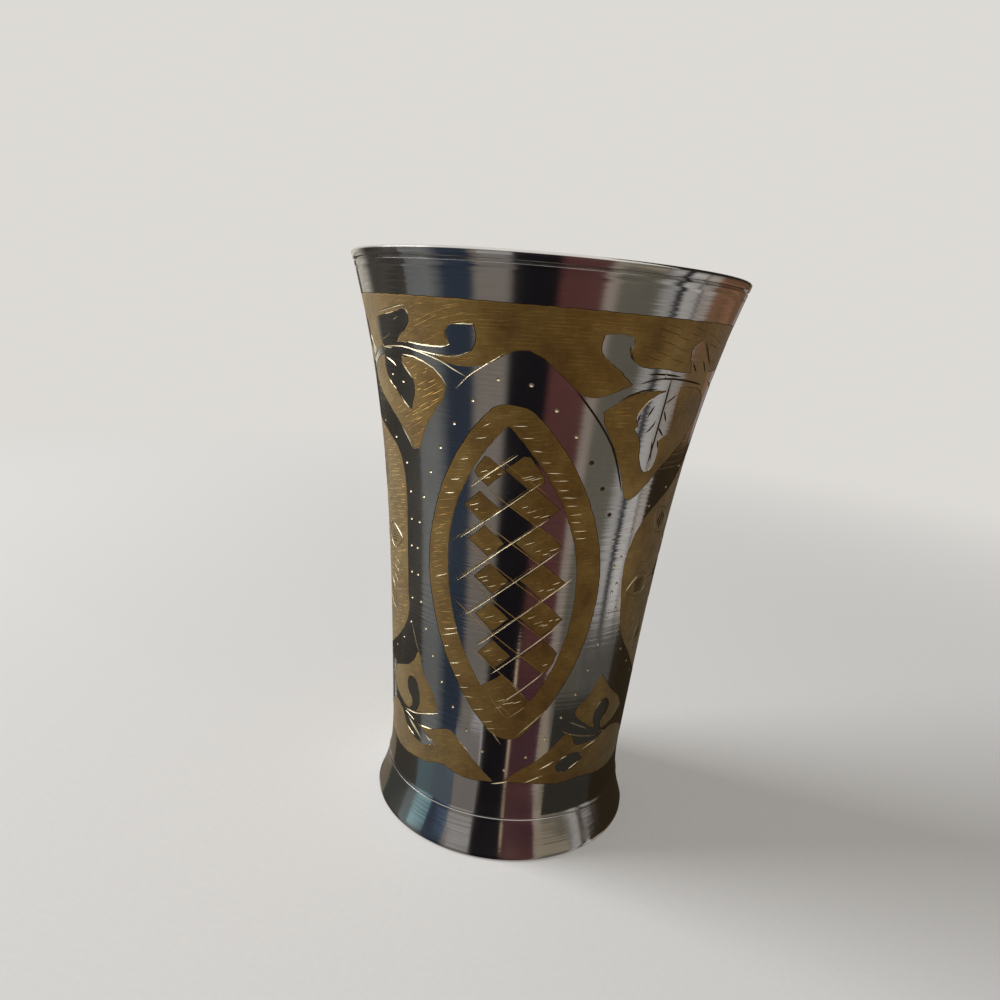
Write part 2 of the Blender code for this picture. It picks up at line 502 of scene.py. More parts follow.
Almond = namedtuple("Almond", "centre lean half_width middle half_height top low blunt")
RING_OUT = Almond(-2.9, -0.013, 33.8, 508, 297, (1.7, 0.80), (2.0, 0.85), 0.96)
RING_IN = Almond(-3.2, -0.018, 24.2, 511, 249, (2.0, 1.0), (2.2, 0.90), 1.0)
DOT_PATH = Almond(-2.9, -0.013, 40.5, 500, 338, (1.7, 0.80), (2.0, 0.85), 1.0)
SOFTENING = 5
TRELLIS_START = (5.6, 576)
TRELLIS_ACROSS_MM = np.array([9.0, 0.25])
TRELLIS_UP_MM = np.array([-1.02, 7.10])
TRELLIS_RUN_MM = np.arange(-45.0, 45.0, 0.2)
TRELLIS_REACH = 9
TRELLIS_LEAST = 12
BOLD_LINE, CROSS_LINE = (0.22, 0.10), (0.16, 0.07)
DOUBLE_LINE = (0.36, 0.12)
LINE_STARTS, LINE_ENDS = (0.0, 0.12), (0.88, 0.99)
LINE_BEND_MM = 0.15
LINE_TAPER = 0.12
DOUBLED_SHARE = 0.45
BRIGHT_SHARE = 0.35
LEFT_DIAMONDS = [(-14, 689), (-15, 628), (-12.8, 574), (-10.2, 512), (-9, 447), (-7, 381)]
RIGHT_DIAMONDS = [(0.5, 692), (3, 637), (5.6, 577), (8.5, 515), (9.6, 451), (12, 382)]
LEFT_DIAMOND_HALF, RIGHT_DIAMOND_HALF = (6.6, 26), (8.4, 32)
DIAMOND_LEAN = 0.8
DIAMOND_BACK_MM = 0.08
DIAMOND_STROKES_MM = 2.4
DIAMOND_REACHES_MM = (0.8, 2.0)
DIAMOND_SHIFT_MM = 0.3
DIAMOND_DROP_MM = 0.4
DIAMOND_RISE_MM = 0.8
DIAMOND_SLOPE = 0.8
STROKE_SLOPE = 0.42
END_DIAMOND = [(9.5, 297), (-3, 347), (-12, 318), (1, 253)]
END_CUTS = [
    [(-8, 305), (0, 265)], [(0.5, 264), (8, 292)], [(-5, 281), (-2, 287)], [(-3, 346), (9.5, 297)],
]
LEFT_STROKES, RIGHT_STROKES = (240.0, 760), (590.0, 770)
CROSSED_STRETCH, CROSSED_BRIGHT = (380, 625), 0.15
CROSSED_RANGES = ((0.04, 0.3), (0.65, 0.97), (0.7, 1.6), (6, 17))
LOW_RANGES = ((-0.3, 0.2), (1.2, 2.5), (0.1, 0.7), (9, 30))
HIGH_RANGES = ((0.8, 1.6), (2.4, 3.4), (0.3, 0.9), (18, 40))
RIGHT_RANGES = ((0.3, 0.6), (1.6, 2.7), (-0.1, 0.3), (11, 18))
RIM_STARTS = (0.05, 0.40, 0.72)
RIM_SHIFT = 0.1
RIM_LENGTHS = (0.10, 0.18)
DOT_GAP_MM = 5.3
CHAIN_AWAY_MM = 1.3
CHAIN_END_MM = 2.0
DARK_DOTS_FROM = (14, 620)
FINE_CUT = dict(width=0.13, depth=0.045)
RIM_CUT = dict(width=0.18, depth=0.07, taper=0.4)
LINE_CUT = dict(width=0.25, depth=0.10, taper=0.2)
STEM_CUT = dict(width=0.30, depth=0.12, taper=0.25)
# Dark strokes in the dark brass: painted shade and dark reflection in the cuts.
PAINTED_SHADE_CUT = dict(width=0.34, depth=0.16, taper=0.3, finish=PAINTED_SHADE_FINISH)
SOFT_CUT = dict(width=0.16, depth=0.03, finish=HATCH_FINISH)
DEEP_HATCH = dict(width=0.26, depth=0.05)


def almond_edge(almond, height, side):
    """A point of an almond's edge at a height; side is 1 on the right and -1 on the left."""
    rise = min(max(height - almond.middle, -almond.half_height), almond.half_height)
    power, blunt = almond.top if rise > 0 else almond.low
    width = almond.half_width * (1 - abs(rise / almond.half_height) ** power) ** blunt
    return almond.centre + almond.lean * rise + side * width, almond.middle + rise


def almond_loop(almond, count=40):
    """The closed outline of an almond."""
    shares = almond.blunt * np.sin(np.linspace(-math.pi / 2, math.pi / 2, count))
    heights = almond.middle + almond.half_height * shares
    right = [almond_edge(almond, height, 1) for height in heights]
    left = [almond_edge(almond, height, -1) for height in heights[::-1]]
    loop = outline(right, left)
    for _ in range(SOFTENING):
        loop = (np.roll(loop, 1, 0) + 2 * loop + np.roll(loop, -1, 0)) / 4
    return loop


def lattice_panel(art):
    """The middle panel: a brass almond ring round a trellis with brass diamonds."""
    ring_out, ring_in = almond_loop(RING_OUT), almond_loop(RING_IN)
    art.field(ring_out)
    art.island(ring_in)
    window = inset(ring_in, HATCH_KEEP_MM)
    for centres, half in ((LEFT_DIAMONDS, LEFT_DIAMOND_HALF), (RIGHT_DIAMONDS, RIGHT_DIAMOND_HALF)):
        for centre in centres:
            diamond(art, clip_to(straight_loop(diamond_corners(*centre, *half)), window))
    diamond(art, straight_loop(END_DIAMOND))
    art.strokes(END_CUTS, FINE_CUT)
    across, up = TRELLIS_ACROSS_MM, TRELLIS_UP_MM
    first = flat(TRELLIS_START) + 0.5 * up
    for index in range(-TRELLIS_REACH, TRELLIS_REACH + 1):
        trellis_line(art, window, first + 0.5 * index * (across - up), across + up, True)
        trellis_line(art, window, first + 0.5 * index * (across + up), across - up, False)
    ring_strokes(art, ring_out, ring_in)


def straight_loop(corners):
    """A closed flat loop of straight sides, with points along them."""
    corners = flat(corners)
    edges = zip(corners, np.roll(corners, -1, 0))
    return np.vstack([np.linspace(start, end, 5)[:-1] for start, end in edges])


def clip_to(loop, window):
    """A convex loop pulled in where it would leave a window round it."""
    centre = loop.mean(0)
    result = loop.copy()
    for index, point in enumerate(loop):
        for share in np.linspace(1.0, 0.3, 15):
            result[index] = centre + (point - centre) * share
            if inside(window, result[index][None])[0]:
                break
    return result


def diamond_corners(x, y, wide, tall):
    """Corners of a diamond that leans a little, from its right one on."""
    return [(x + wide, y), (x - DIAMOND_LEAN, y + tall), (x - wide, y), (x + DIAMOND_LEAN, y - tall)]


def diamond(art, loop):
    """A brass diamond in the trellis, hatched, with fine bright strokes along its lower edges."""
    art.field(loop, DIAMOND_BACK_MM)
    art.hatch(loop, [], [(0, 24)], 3.0)
    draw = art.random
    centre = loop.mean(0)
    for along in np.linspace(-DIAMOND_STROKES_MM, DIAMOND_STROKES_MM, 6):
        reach = draw.uniform(*DIAMOND_REACHES_MM)
        shift = along + draw.uniform(-DIAMOND_SHIFT_MM, DIAMOND_SHIFT_MM)
        drop = DIAMOND_DROP_MM + DIAMOND_SLOPE * (DIAMOND_STROKES_MM - abs(along))
        start = centre + (shift, draw.uniform(0.0, DIAMOND_RISE_MM) - drop)
        line = np.array([start, start + (reach, STROKE_SLOPE * reach)])
        if inside(loop, line).all():
            art.cut(line, **(FINE_CUT if draw.random() < 0.5 else SOFT_CUT))


def trellis_line(art, window, middle, heading, bold):
    """A scratched line across the trellis, clipped to the almond; bold ones are at times doubled."""
    draw = art.random
    heading = heading / np.linalg.norm(heading)
    side = left_of(heading)
    doubled = bold and draw.random() < DOUBLED_SHARE
    finish = CUT_FINISH if bold or draw.random() < BRIGHT_SHARE else HATCH_FINISH
    width, depth = BOLD_LINE if bold else CROSS_LINE
    for shift, width in ((0.0, width), DOUBLE_LINE)[:2 if doubled else 1]:
        track = middle + side * shift + TRELLIS_RUN_MM[:, None] * heading
        kept = track[inside(window, track)]
        if len(kept) < TRELLIS_LEAST:
            continue
        start = kept[int(len(kept) * draw.uniform(*LINE_STARTS))]
        end = kept[int(len(kept) * draw.uniform(*LINE_ENDS))]
        bend = side * draw.uniform(-LINE_BEND_MM, LINE_BEND_MM)
        art.cut([start, (start + end) / 2 + bend, end], width, depth, LINE_TAPER, finish)


def ring_strokes(art, ring_out, ring_in):
    """Fine hatching on the almond ring, and bright strokes that differ from stretch to stretch."""
    art.hatch(ring_out, [ring_in], [(-35, 14), (30, 6)], 2.6)
    draw = art.random
    height, top = LEFT_STROKES
    while height < top:
        edge = flat(almond_edge(RING_OUT, height, -1))
        wide = flat(almond_edge(RING_IN, height, -1))[0] - edge[0]
        crossed = CROSSED_STRETCH[0] < height < CROSSED_STRETCH[1]
        low = height < CROSSED_STRETCH[0]
        starts, ends, rises, steps = CROSSED_RANGES if crossed else LOW_RANGES if low else HIGH_RANGES
        unit_mm = wide if crossed else 1.0
        begin = unit_mm * draw.uniform(*starts)
        reach = unit_mm * draw.uniform(*ends)
        line = edge + np.array([(begin, 0.0), (reach, draw.uniform(*rises))])
        soft = crossed and draw.random() >= CROSSED_BRIGHT
        art.cut(line, **(SOFT_CUT if soft else FINE_CUT))
        height += draw.uniform(*steps)
    height, top = RIGHT_STROKES
    starts, reaches, rises, steps = RIGHT_RANGES
    while height < top:
        start = flat(almond_edge(RING_IN, height, 1)) + (draw.uniform(*starts), 0.0)
        art.cut([start, start + (draw.uniform(*reaches), draw.uniform(*rises))], **FINE_CUT)
        height += draw.uniform(*steps)


def mirror(points, middle):
    """Points mirrored about an upright line at an angle round the cup."""
    return [(2 * middle - degrees, height) for degrees, height in points]


# Lower edge of the brass band, from the middle panel's arch outwards, left and right of the camera.
BAND_TOP = 932
ARCH_LEFT = [(-3, 870), (-8, 865), (-14, 847), (-20, 839.5), (-25, 839), (-29.5, 844)]
STEM_LEFT = [(-29.5, 844), (-31, 850), (-35, 858), (-40, 862.5), (-53, 862.5)]
FAR_LEFT = [(-53, 862.5), (-57, 853), (-62, 842), (-68, 829), (-74, 823), (-80, 838), (-85, 857),
    (-90, 870), (-95, 864), (-100, 850)]
ARCH_RIGHT = [(-3, 870), (1, 860), (5, 843), (10, 823), (13.5, 813), (17, 811), (22, 820), (27.3, 833)]
STEM_RIGHT = [(27.3, 833), (29, 846), (31.5, 857), (38, 857.5), (47, 854)]
FAR_RIGHT = [(47, 854), (55, 852), (60.5, 848), (65, 842), (70, 831), (75.5, 825), (81, 838),
    (85.5, 856), (90, 870), (95, 866), (102, 852)]
BUD_LEFT = (
    [(-25.8, 894.5), (-23, 898), (-18.8, 899)],
    [(-18, 885), (-18.3, 870), (-19.6, 861)],
    [(-23, 853.5), (-27, 850.5), (-33, 852.5), (-42, 856)],
    [(-42, 864.5)],
    [(-34, 863), (-28.5, 864), (-26.2, 868), (-26.8, 876), (-27, 886)],
)
BUD_RIGHT = (
    [(18, 903), (21, 903), (24.2, 900)],
    [(24.5, 889), (24.3, 877), (26.6, 864), (31, 858), (38, 857.5)],
    [(38, 845), (30, 838), (27.3, 833)],
    [(24, 846), (20, 860), (17, 870), (15.8, 880), (15.6, 890), (15.8, 900)],
)
BUD_FAR_LEFT = (
    [(-72, 896), (-76, 898), (-78.5, 890), (-78.5, 873), (-76, 862), (-71, 850), (-66, 836)],
    [(-63.5, 846), (-67.5, 858), (-69.7, 870), (-70, 886)],
)
FLOWER_LEFT = (
    [(-56, 852)],
    [(-58, 868), (-59, 882), (-57.5, 897)],
    [(-52, 902), (-46, 907), (-42, 912), (-40.3, 907)],
    [(-40.4, 895), (-42, 884), (-45, 873), (-47, 864), (-47, 852)],
)
PETAL = (
    [(49, 860), (47, 877), (46.2, 890), (47.4, 899), (49.6, 906)],
    [(53, 893), (57, 875), (61, 859), (65, 846)],
    [(65, 836), (58, 840), (50, 844)],
)
FLOWER_CUTS = [
    [(-58, 903), (-50, 910), (-44, 916), (-41, 918)], [(-41, 916), (-40, 904)], [(-57.5, 862),
    (-53, 868), (-49.5, 876)], [(-47.5, 895), (-44.5, 901)],
]
PETAL_CUTS = [
    [(48.6, 872), (50.5, 863), (53, 855)], [(54.2, 876), (56.5, 866), (59.7, 854)], [(51.5, 904),
    (54.4, 892), (58.2, 877), (62, 866)],
]
RIGHT_SPANDREL = 50.0
BAND_LEANS = [(-60, 30), (-32, 26), (-15, 4), (30, 0), (60, -8)]
BAND_STROKE_MM = 4.6
# Stretch of the band hatched in the dark brass: painted shade on its right-hand side.
PAINTED_SHADE_PATCH = [(25, 862), (66, 866), (66, 927), (25, 927)]


def band(art):
    """The brass band under the lip, whose lower edge arches over the panels."""
    left_end, right_end = FAR_LEFT[-1][0], FAR_RIGHT[-1][0]
    top = [(right_end, BAND_TOP), (0.0, BAND_TOP), (left_end, BAND_TOP)]
    loop = outline(FAR_LEFT[::-1], STEM_LEFT[::-1], ARCH_LEFT[::-1], ARCH_RIGHT, STEM_RIGHT, FAR_RIGHT,
                   [FAR_RIGHT[-1], top[0]], top, [top[-1], FAR_LEFT[-1]])
    art.field(loop)
    islands = [joined(runs) for runs in (BUD_LEFT, BUD_FAR_LEFT, BUD_RIGHT, FLOWER_LEFT)]
    islands.append(joined([mirror(run, RIGHT_SPANDREL) for run in BUD_RIGHT]))
    for shape in islands:
        rimmed_island(art, shape)
    art.strokes([[BUD_LEFT[run - 1][-1], *BUD_LEFT[run]] for run in (2, 4)], STEM_CUT)
    art.strokes(FLOWER_CUTS, LINE_CUT)
    islands.append(joined(PETAL))
    art.island(islands[-1])
    # The petal's cuts are dark strokes of painted shade.
    art.strokes(PETAL_CUTS, PAINTED_SHADE_CUT)
    art.hatch(loop, islands, BAND_LEANS, BAND_STROKE_MM)
    # Dark strokes of painted shade over the band's right-hand stretch.
    art.hatch(straight_loop(PAINTED_SHADE_PATCH), islands, [(0, -12)], BAND_STROKE_MM, 0.9, 0.10,
              finish=PAINTED_SHADE_FINISH)


def rimmed_island(art, loop):
    """An island with three fine bright cuts that shade parts of its edge."""
    art.island(loop)
    count = len(loop)
    draw = art.random
    for begin in RIM_STARTS:
        start = int(count * (begin + draw.uniform(0.0, RIM_SHIFT)))
        steps = max(CUT_POINTS, int(count * draw.uniform(*RIM_LENGTHS)))
        art.cut(np.roll(loop, -start, 0)[:steps], **RIM_CUT)


def leafed_field(art, field, leaf, lean, length, **stroke):
    """A hatched brass field with a plated leaf in it."""
    field, leaf = joined(field), joined(leaf)
    art.field(field)
    rimmed_island(art, leaf)
    art.hatch(field, [leaf], [(0, lean)], length, **stroke)


# Hanging lobes of the spandrels and the leaf in each, left and right of the camera.
LOBE_LEFT = (
    [(-40, 842), (-36, 837), (-32.3, 829), (-29.5, 818), (-27.7, 806)],
    [(-28.8, 788), (-32, 767), (-35.5, 745), (-38.2, 720), (-40, 701)],
    [(-43.6, 699)],
    [(-46, 715), (-50, 733), (-56, 755), (-63, 775), (-69, 800)],
    [(-67.5, 817), (-63, 831), (-57, 840), (-51, 843), (-45, 842.5)],
)
LEAF_LEFT = (
    [(-45.8, 834), (-43.6, 822), (-41.2, 810), (-40.7, 798), (-41.5, 780), (-43.3, 762)],
    [(-47, 771), (-50, 785), (-54, 799), (-56.4, 812), (-56.6, 830), (-56, 848)],
    [(-46, 848)],
)
VEINS_LEFT = [
    [(-55.4, 836), (-51.5, 832), (-49, 825)], [(-46, 834), (-43.6, 822), (-41.4, 812)], [(-55.4, 803),
    (-53, 794)], [(-48.4, 781), (-46, 768), (-43, 761)], [(-46.8, 803), (-45.2, 802)], [(-52.8, 811),
    (-51.2, 811)],
]
LOBE_RIGHT = (
    [(37, 827), (31, 823), (27, 815), (23.5, 804), (19.8, 792)],
    [(21, 772), (25, 743), (29.5, 704), (32.5, 672), (34.2, 655)],
    [(36.5, 652), (39, 658)],
    [(43, 676), (48, 700), (54, 722), (61, 750), (67, 785)],
    [(65, 815), (58, 830), (48, 833), (41, 827)],
)
LEAF_RIGHT = (
    [(41, 828), (38, 822), (35, 812), (33, 800), (31.4, 785), (33, 773)],
    [(31.8, 767), (34, 757), (35.4, 745), (36.2, 727), (37.6, 711), (39.6, 700), (41.4, 698),
     (43.5, 705), (44.6, 720), (44.2, 735), (43.4, 747)],
    [(45.2, 754), (47.4, 757), (48.2, 767), (47.2, 790), (46.6, 820), (46.6, 846)],
    [(41.2, 846)],
)
VEINS_RIGHT = [
    [(41, 850), (41.4, 800), (41.4, 750), (41, 706)], [(37.4, 805), (35.5, 784)], [(42, 797),
    (44.6, 777)], [(41.4, 771), (43, 763), (45.6, 754)], [(39.8, 783), (38.4, 768), (36, 760)],
    [(40.2, 752), (42, 715)], [(42.8, 750), (44.2, 735)], [(32.6, 792), (32.2, 775)], [(41.5, 806),
    (46.2, 822)],
]
RIBBON_CUTS = [
    [(-57, 852), (-45, 857), (-38, 853), (-30, 844), (-25, 833), (-20.8, 824)], [(-45, 844.5),
    (-40, 844), (-36, 839), (-32, 831), (-29.2, 819), (-27.4, 806)], [(-9, 866), (-16, 842),
    (-20.8, 824), (-24.4, 805)], [(-49.5, 731), (-46, 714), (-43.4, 698)],
]
# Lines on the right-hand lobe, cut as dark strokes of painted shade.
PAINTED_SHADE_LINES = [
    [(23.5, 806), (27, 817), (31, 825), (37, 829)], [(29, 834), (35, 843), (42, 845), (50, 842),
    (60, 836)], [(10.4, 821), (14, 803), (20, 771), (25, 740), (29, 704), (32.6, 664)], [(23.5, 890),
    (24.2, 876), (26, 866)], [(31, 850), (38, 851), (46, 848)],
]


def lobes(art):
    """The two hanging spandrel lobes with their leaves."""
    leafed_field(art, LOBE_LEFT, LEAF_LEFT, 30, 3.2, **DEEP_HATCH)
    leafed_field(art, LOBE_RIGHT, LEAF_RIGHT, 4, 3.2, **DEEP_HATCH)
    art.strokes(VEINS_LEFT, STEM_CUT)
    art.strokes(RIBBON_CUTS, LINE_CUT)
    # The right leaf's veins and the lines round it are dark strokes of painted shade and dark reflection.
    art.strokes(VEINS_RIGHT + PAINTED_SHADE_LINES, PAINTED_SHADE_CUT)


# Lower spandrels: a lobe that points up, a bud in it, and the band along the waist.
LOW_LOBE_LEFT = (
    [(-41.2, 330), (-40, 312), (-37.2, 295), (-33.6, 277), (-32, 262), (-30.6, 245)],
    [(-35, 235), (-41, 226), (-50, 218), (-60, 226), (-68, 242)],
    [(-65, 275), (-58, 291), (-50, 306), (-45.5, 325), (-43, 345)],
)
LOW_LOBE_RIGHT = (
    [(38.8, 322), (36, 302), (31.5, 286), (30, 270), (32.5, 257)],
    [(36, 246), (41, 232), (48, 224), (56, 230), (63, 248)],
    [(58, 274), (50, 299), (45, 321), (41, 339)],
)
LOW_BUD_LEFT = (
    [(-42.2, 262), (-43.5, 278), (-46.5, 286), (-50, 280), (-51, 262), (-49, 247), (-47, 240)],
    [(-48, 225), (-53, 212)],
    [(-45, 221), (-42, 243)],
)
LOW_BUD_RIGHT = (
    [(41.4, 262), (43, 278), (46, 284), (49.4, 278), (50.4, 262), (48.4, 248), (46, 240)],
    [(47, 226), (51, 214)],
    [(44, 222), (41.6, 246)],
)
WAIST_LEFT = (
    [(-9, 163), (-14, 181), (-19, 203), (-22.5, 217), (-26, 219), (-31, 211), (-36, 203), (-47, 200),
     (-56, 206), (-62, 212), (-69, 204), (-77, 178), (-87, 143)],
    [(-76, 131), (-64, 128), (-55, 126), (-45, 131), (-36, 136), (-28, 146), (-20, 138), (-12, 135),
     (-3, 139)],
)
WAIST_RIGHT = (
    [(6, 160), (13, 179), (20, 203), (25.5, 227), (29, 232), (31.5, 220), (34, 206), (45, 207),
     (53, 217), (60, 214), (68, 200), (76, 175), (86, 143)],
    [(74, 131), (62, 127), (50, 129), (38, 136), (26, 134), (14, 139), (1, 141)],
)
WAIST_LEAF_LEFT = (
    [(-47, 204), (-40, 194), (-34.5, 186), (-32.5, 178)],
    [(-36, 170), (-41, 166), (-47, 171), (-52, 183), (-56, 210)],
)
WAIST_LEAF_RIGHT = (
    [(27, 184), (32, 190), (36, 187), (38.5, 176)],
    [(35, 163), (30, 156), (26, 158), (24.5, 168)],
)
LOW_CUTS = [
    [(-50.8, 201), (-45, 190), (-39.8, 174)], [(-49.8, 197), (-45, 187), (-41, 175)], [(-53, 184),
    (-49, 177), (-45, 172)], [(-42, 200), (-38, 203), (-34, 205)], [(-37.5, 187), (-34, 180)],
    [(-53, 212), (-45, 218), (-37, 231), (-30, 243)], [(-47.5, 390), (-45, 362), (-42.5, 340)],
    [(-20, 206), (-15, 189)], [(-6, 240), (-1, 214)], [(17, 286), (5, 233)], [(-4, 134), (0, 138),
    (4, 143)], [(16.5, 166), (20, 173), (23.5, 181)], [(31, 159), (36.5, 171)], [(37, 192), (41, 198),
    (46, 202)], [(28, 256), (33, 245), (38.6, 233)], [(25, 240), (30, 229), (38, 219), (45, 213)],
    [(10.5, 140), (14.5, 147), (19, 154)],
]


def lower_spandrels(art):
    """Lobes that point up from the waist, the brass band under them, buds and leaves."""
    for field, leaf, lean in ((LOW_LOBE_LEFT, LOW_BUD_LEFT, 14), (LOW_LOBE_RIGHT, LOW_BUD_RIGHT, -14),
                              (WAIST_LEFT, WAIST_LEAF_LEFT, 22), (WAIST_RIGHT, WAIST_LEAF_RIGHT, 14)):
        leafed_field(art, field, leaf, lean, 2.8)
    art.strokes(LOW_CUTS, LINE_CUT)


# Side panels: a brass field with a spray of leaves, in degrees from the panel's middle.
SIDE_FIELD = [(0, 736), (22, 727), (37, 703), (43, 675), (45, 620), (44.3, 530), (44, 450), (44.5, 408),
    (39, 365), (29, 329), (14, 295), (-4, 288), (-18, 322), (-29, 366), (-36.5, 402), (-41, 450),
    (-44.6, 535), (-42, 594), (-36, 630), (-25, 664), (-14, 708)]
SIDE_PANELS = [(-94.0, 511), (86.0, 511)]
SIDE_LEAN = 0.12
SIDE_REACH = (44.0, 212)
SIDE_LEAF_COUNT = 8
SIDE_LEAF, SIDE_LEAF_MM = (0.56, 0.92), 2.4
SIDE_PETAL, SIDE_PETAL_MM = (0.13, 0.42), 1.8
SIDE_STALK, SIDE_TUFT = (0.44, 0.54), (0.68, 0.84)
TUFT_SPREAD = (-0.13, 0.02, 0.15)
# Places across a leaf of its dark strokes, which are painted shade.
LEAF_SHADES = (-0.66, -0.33, 0.0, 0.33, 0.66)
SIDE_BOSS_MM, BOSS_SIDES = 1.5, 12
LEAF_VEINS = (0.34, 0.54, 0.74)
LEAF_BROADEST, LEAF_BLUNT = 0.8, 0.9
MIDDLE_VEIN = 0.86
VEIN_RISE, VEIN_REACH = 0.14, 0.55
SHADE_ENDS = ((0.20, 0.8), (0.74, 0.6))


def leaf_loop(base, along, side, half_width):
    """A pointed flat leaf from its base on, broadest below the middle."""
    count = max(6, math.ceil(np.linalg.norm(along) / OUTLINE_STEP_MM))
    shares = np.linspace(0.0, 1.0, count + 1)
    swell = half_width * np.sin(math.pi * shares ** LEAF_BROADEST) ** LEAF_BLUNT
    right = base + shares[:, None] * along - swell[:, None] * side
    left = base + shares[:, None] * along + swell[:, None] * side
    return np.vstack([right[:-1], left[:0:-1]])


def petal(art, base, along, side, half_width):
    """A plated petal with a middle vein and shorter ones on both sides; returns its outline."""
    loop = leaf_loop(base, along, side, half_width)
    rimmed_island(art, loop)
    art.cut([base, base + MIDDLE_VEIN * along], **LINE_CUT)
    for share in LEAF_VEINS:
        for way in (-1, 1):
            start = base + share * along
            art.cut([start, start + VEIN_RISE * along + VEIN_REACH * way * half_width * side], **FINE_CUT)
    return loop


def outlined_leaf(art, base, along, side, half_width):
    """A leaf cut as two bright edges with dark strokes of painted shade between them; returns its outline.
    """
    loop = leaf_loop(base, along, side, half_width)
    half = len(loop) // 2
    art.cut(loop[:half + 1], **LINE_CUT)
    art.cut(np.vstack([loop[half:], loop[:1]]), **LINE_CUT)
    for shift in LEAF_SHADES:
        art.cut([base + share * along + spread * shift * half_width * side
                 for share, spread in SHADE_ENDS], **PAINTED_SHADE_CUT)
    return loop


def side_panel(art, centre):
    """A brass field with a plated flower, and outlined leaves and tufts of strokes round it."""
    art.random = random.Random(31)
    field = side_field(centre)
    art.field(field)
    middle = flat(centre)
    reach = flat(SIDE_REACH)

    def spoke(turn, span):
        angle = SIDE_LEAN + turn * math.tau / SIDE_LEAF_COUNT
        ray = reach * np.array([math.cos(angle), math.sin(angle)])
        return middle + ray * span[0], middle + ray * span[1]

    def leaf_axes(turn, span):
        base, tip = spoke(turn, span)
        along = tip - base
        return base, along, left_of(along) / np.linalg.norm(along)

    boss = circle(middle, SIDE_BOSS_MM, BOSS_SIDES)
    art.island(boss)
    art.dot(middle)
    shapes = [boss]
    for index in range(SIDE_LEAF_COUNT):
        shapes.append(petal(art, *leaf_axes(index, SIDE_PETAL), SIDE_PETAL_MM))
        shapes.append(outlined_leaf(art, *leaf_axes(index, SIDE_LEAF), SIDE_LEAF_MM))
        art.cut(spoke(index, SIDE_STALK), **STEM_CUT)
        for shift in TUFT_SPREAD:
            art.cut(spoke(index + 0.5 + shift, SIDE_TUFT), **FINE_CUT)
    art.hatch(field, shapes, [(0, 12)], 3.4, **DEEP_HATCH)
    art.random = random.Random(11)


def side_field(centre):
    """The outline of a side panel's brass."""
    return ring([(centre[0] + x, y) for x, y in SIDE_FIELD])


def dot_chains(art):
    """Punched dots that follow the middle almond and the side fields on the plated ground."""
    chains = [almond_loop(DOT_PATH)]
    for centre in SIDE_PANELS:
        chains.append(inset(side_field(centre), -CHAIN_AWAY_MM))
    for chain in chains:
        run = lengths_along(chain)
        for at in np.arange(0.0, run[-1] - CHAIN_END_MM, DOT_GAP_MM):
            place = np.array([np.interp(at, run, chain[:, axis]) for axis in (0, 1)])
            # Dots on the almond's upper right are punched in the dark brass: painted shade in the pits.
            if chain is chains[0] and np.all(place > flat(DARK_DOTS_FROM)):
                art.dot(place, DARK_DOT_MM, PAINTED_SHADE_FINISH)
            else:
                art.dot(place)


def draw_half():
    """Everything on half the wall, which repeats after half a turn."""
    art = Drawing()
    lattice_panel(art)
    band(art)
    lobes(art)
    lower_spandrels(art)
    for centre in SIDE_PANELS:
        side_panel(art, centre)
    dot_chains(art)
    return art


# Meshing of the drawing.

def drawn_edges(art):
    """All outlines, cuts and dots as flat points, with the edges between them."""
    points, edges = [], []

    def add(line, closed):
        start, count = len(points), len(line)
        points.extend(line)
        edges.extend((start + k, start + k + 1) for k in range(count - 1))
        if closed:
            edges.append((start + count - 1, start))

    for _, loops in art.shapes:
        for loop in loops:
            add(loop, True)
    for line, half, _, _ in art.cuts:
        side = left_of(unit(np.gradient(line, axis=0))) * half[:, None]
        for way in (0, 1, -1):
            add(line + way * side, False)
    for centre, radius, _, _ in art.dots:
        add(circle(centre, radius, DOT_SIDES), True)
        add([centre], False)
    return np.array(points), np.array(edges)


def skin_grid(points, edges):
    """Staggered points between the features, so that the plain skin has even triangles."""
    step = CLEAR_OF_CUTS_MM / 2
    low = np.array([-HALF_TURN * 0.6 * FLAT_MM_PER_DEGREE, 0.0])
    size = np.array([HALF_TURN * 1.2 * FLAT_MM_PER_DEGREE, HEIGHT_MM])
    taken = np.zeros(np.ceil(size / step).astype(int) + 4, bool)
    starts, ends = points[edges[:, 0]], points[edges[:, 1]]
    for share in np.linspace(0.0, 1.0, EDGE_SAMPLES):
        cell = ((starts + (ends - starts) * share - low) / step).astype(int)
        cell = cell[np.all((cell >= 2) & (cell < np.array(taken.shape) - 2), axis=1)]
        for dx, dy in np.ndindex(5, 5):
            taken[cell[:, 0] + dx - 2, cell[:, 1] + dy - 2] = True
    half = HALF_TURN / 2 * FLAT_MM_PER_DEGREE
    grid = []
    for index, height in enumerate(skin_rows()[1:-1]):
        wide = np.arange(-half + 0.5 * COLUMN_MM * (index % 2), half, COLUMN_MM)
        grid.append(together(wide, height))
    grid = np.vstack(grid)
    cell = ((grid - low) / step).astype(int)
    return grid[~taken[cell[:, 0], cell[:, 1]]]


def skin_rows():
    """Heights of the skin's rows in flat millimetres, from the seam to the lathe grooves."""
    return np.linspace(SKIN_LOW, SKIN_TOP, SKIN_ROWS + 1) * 1000


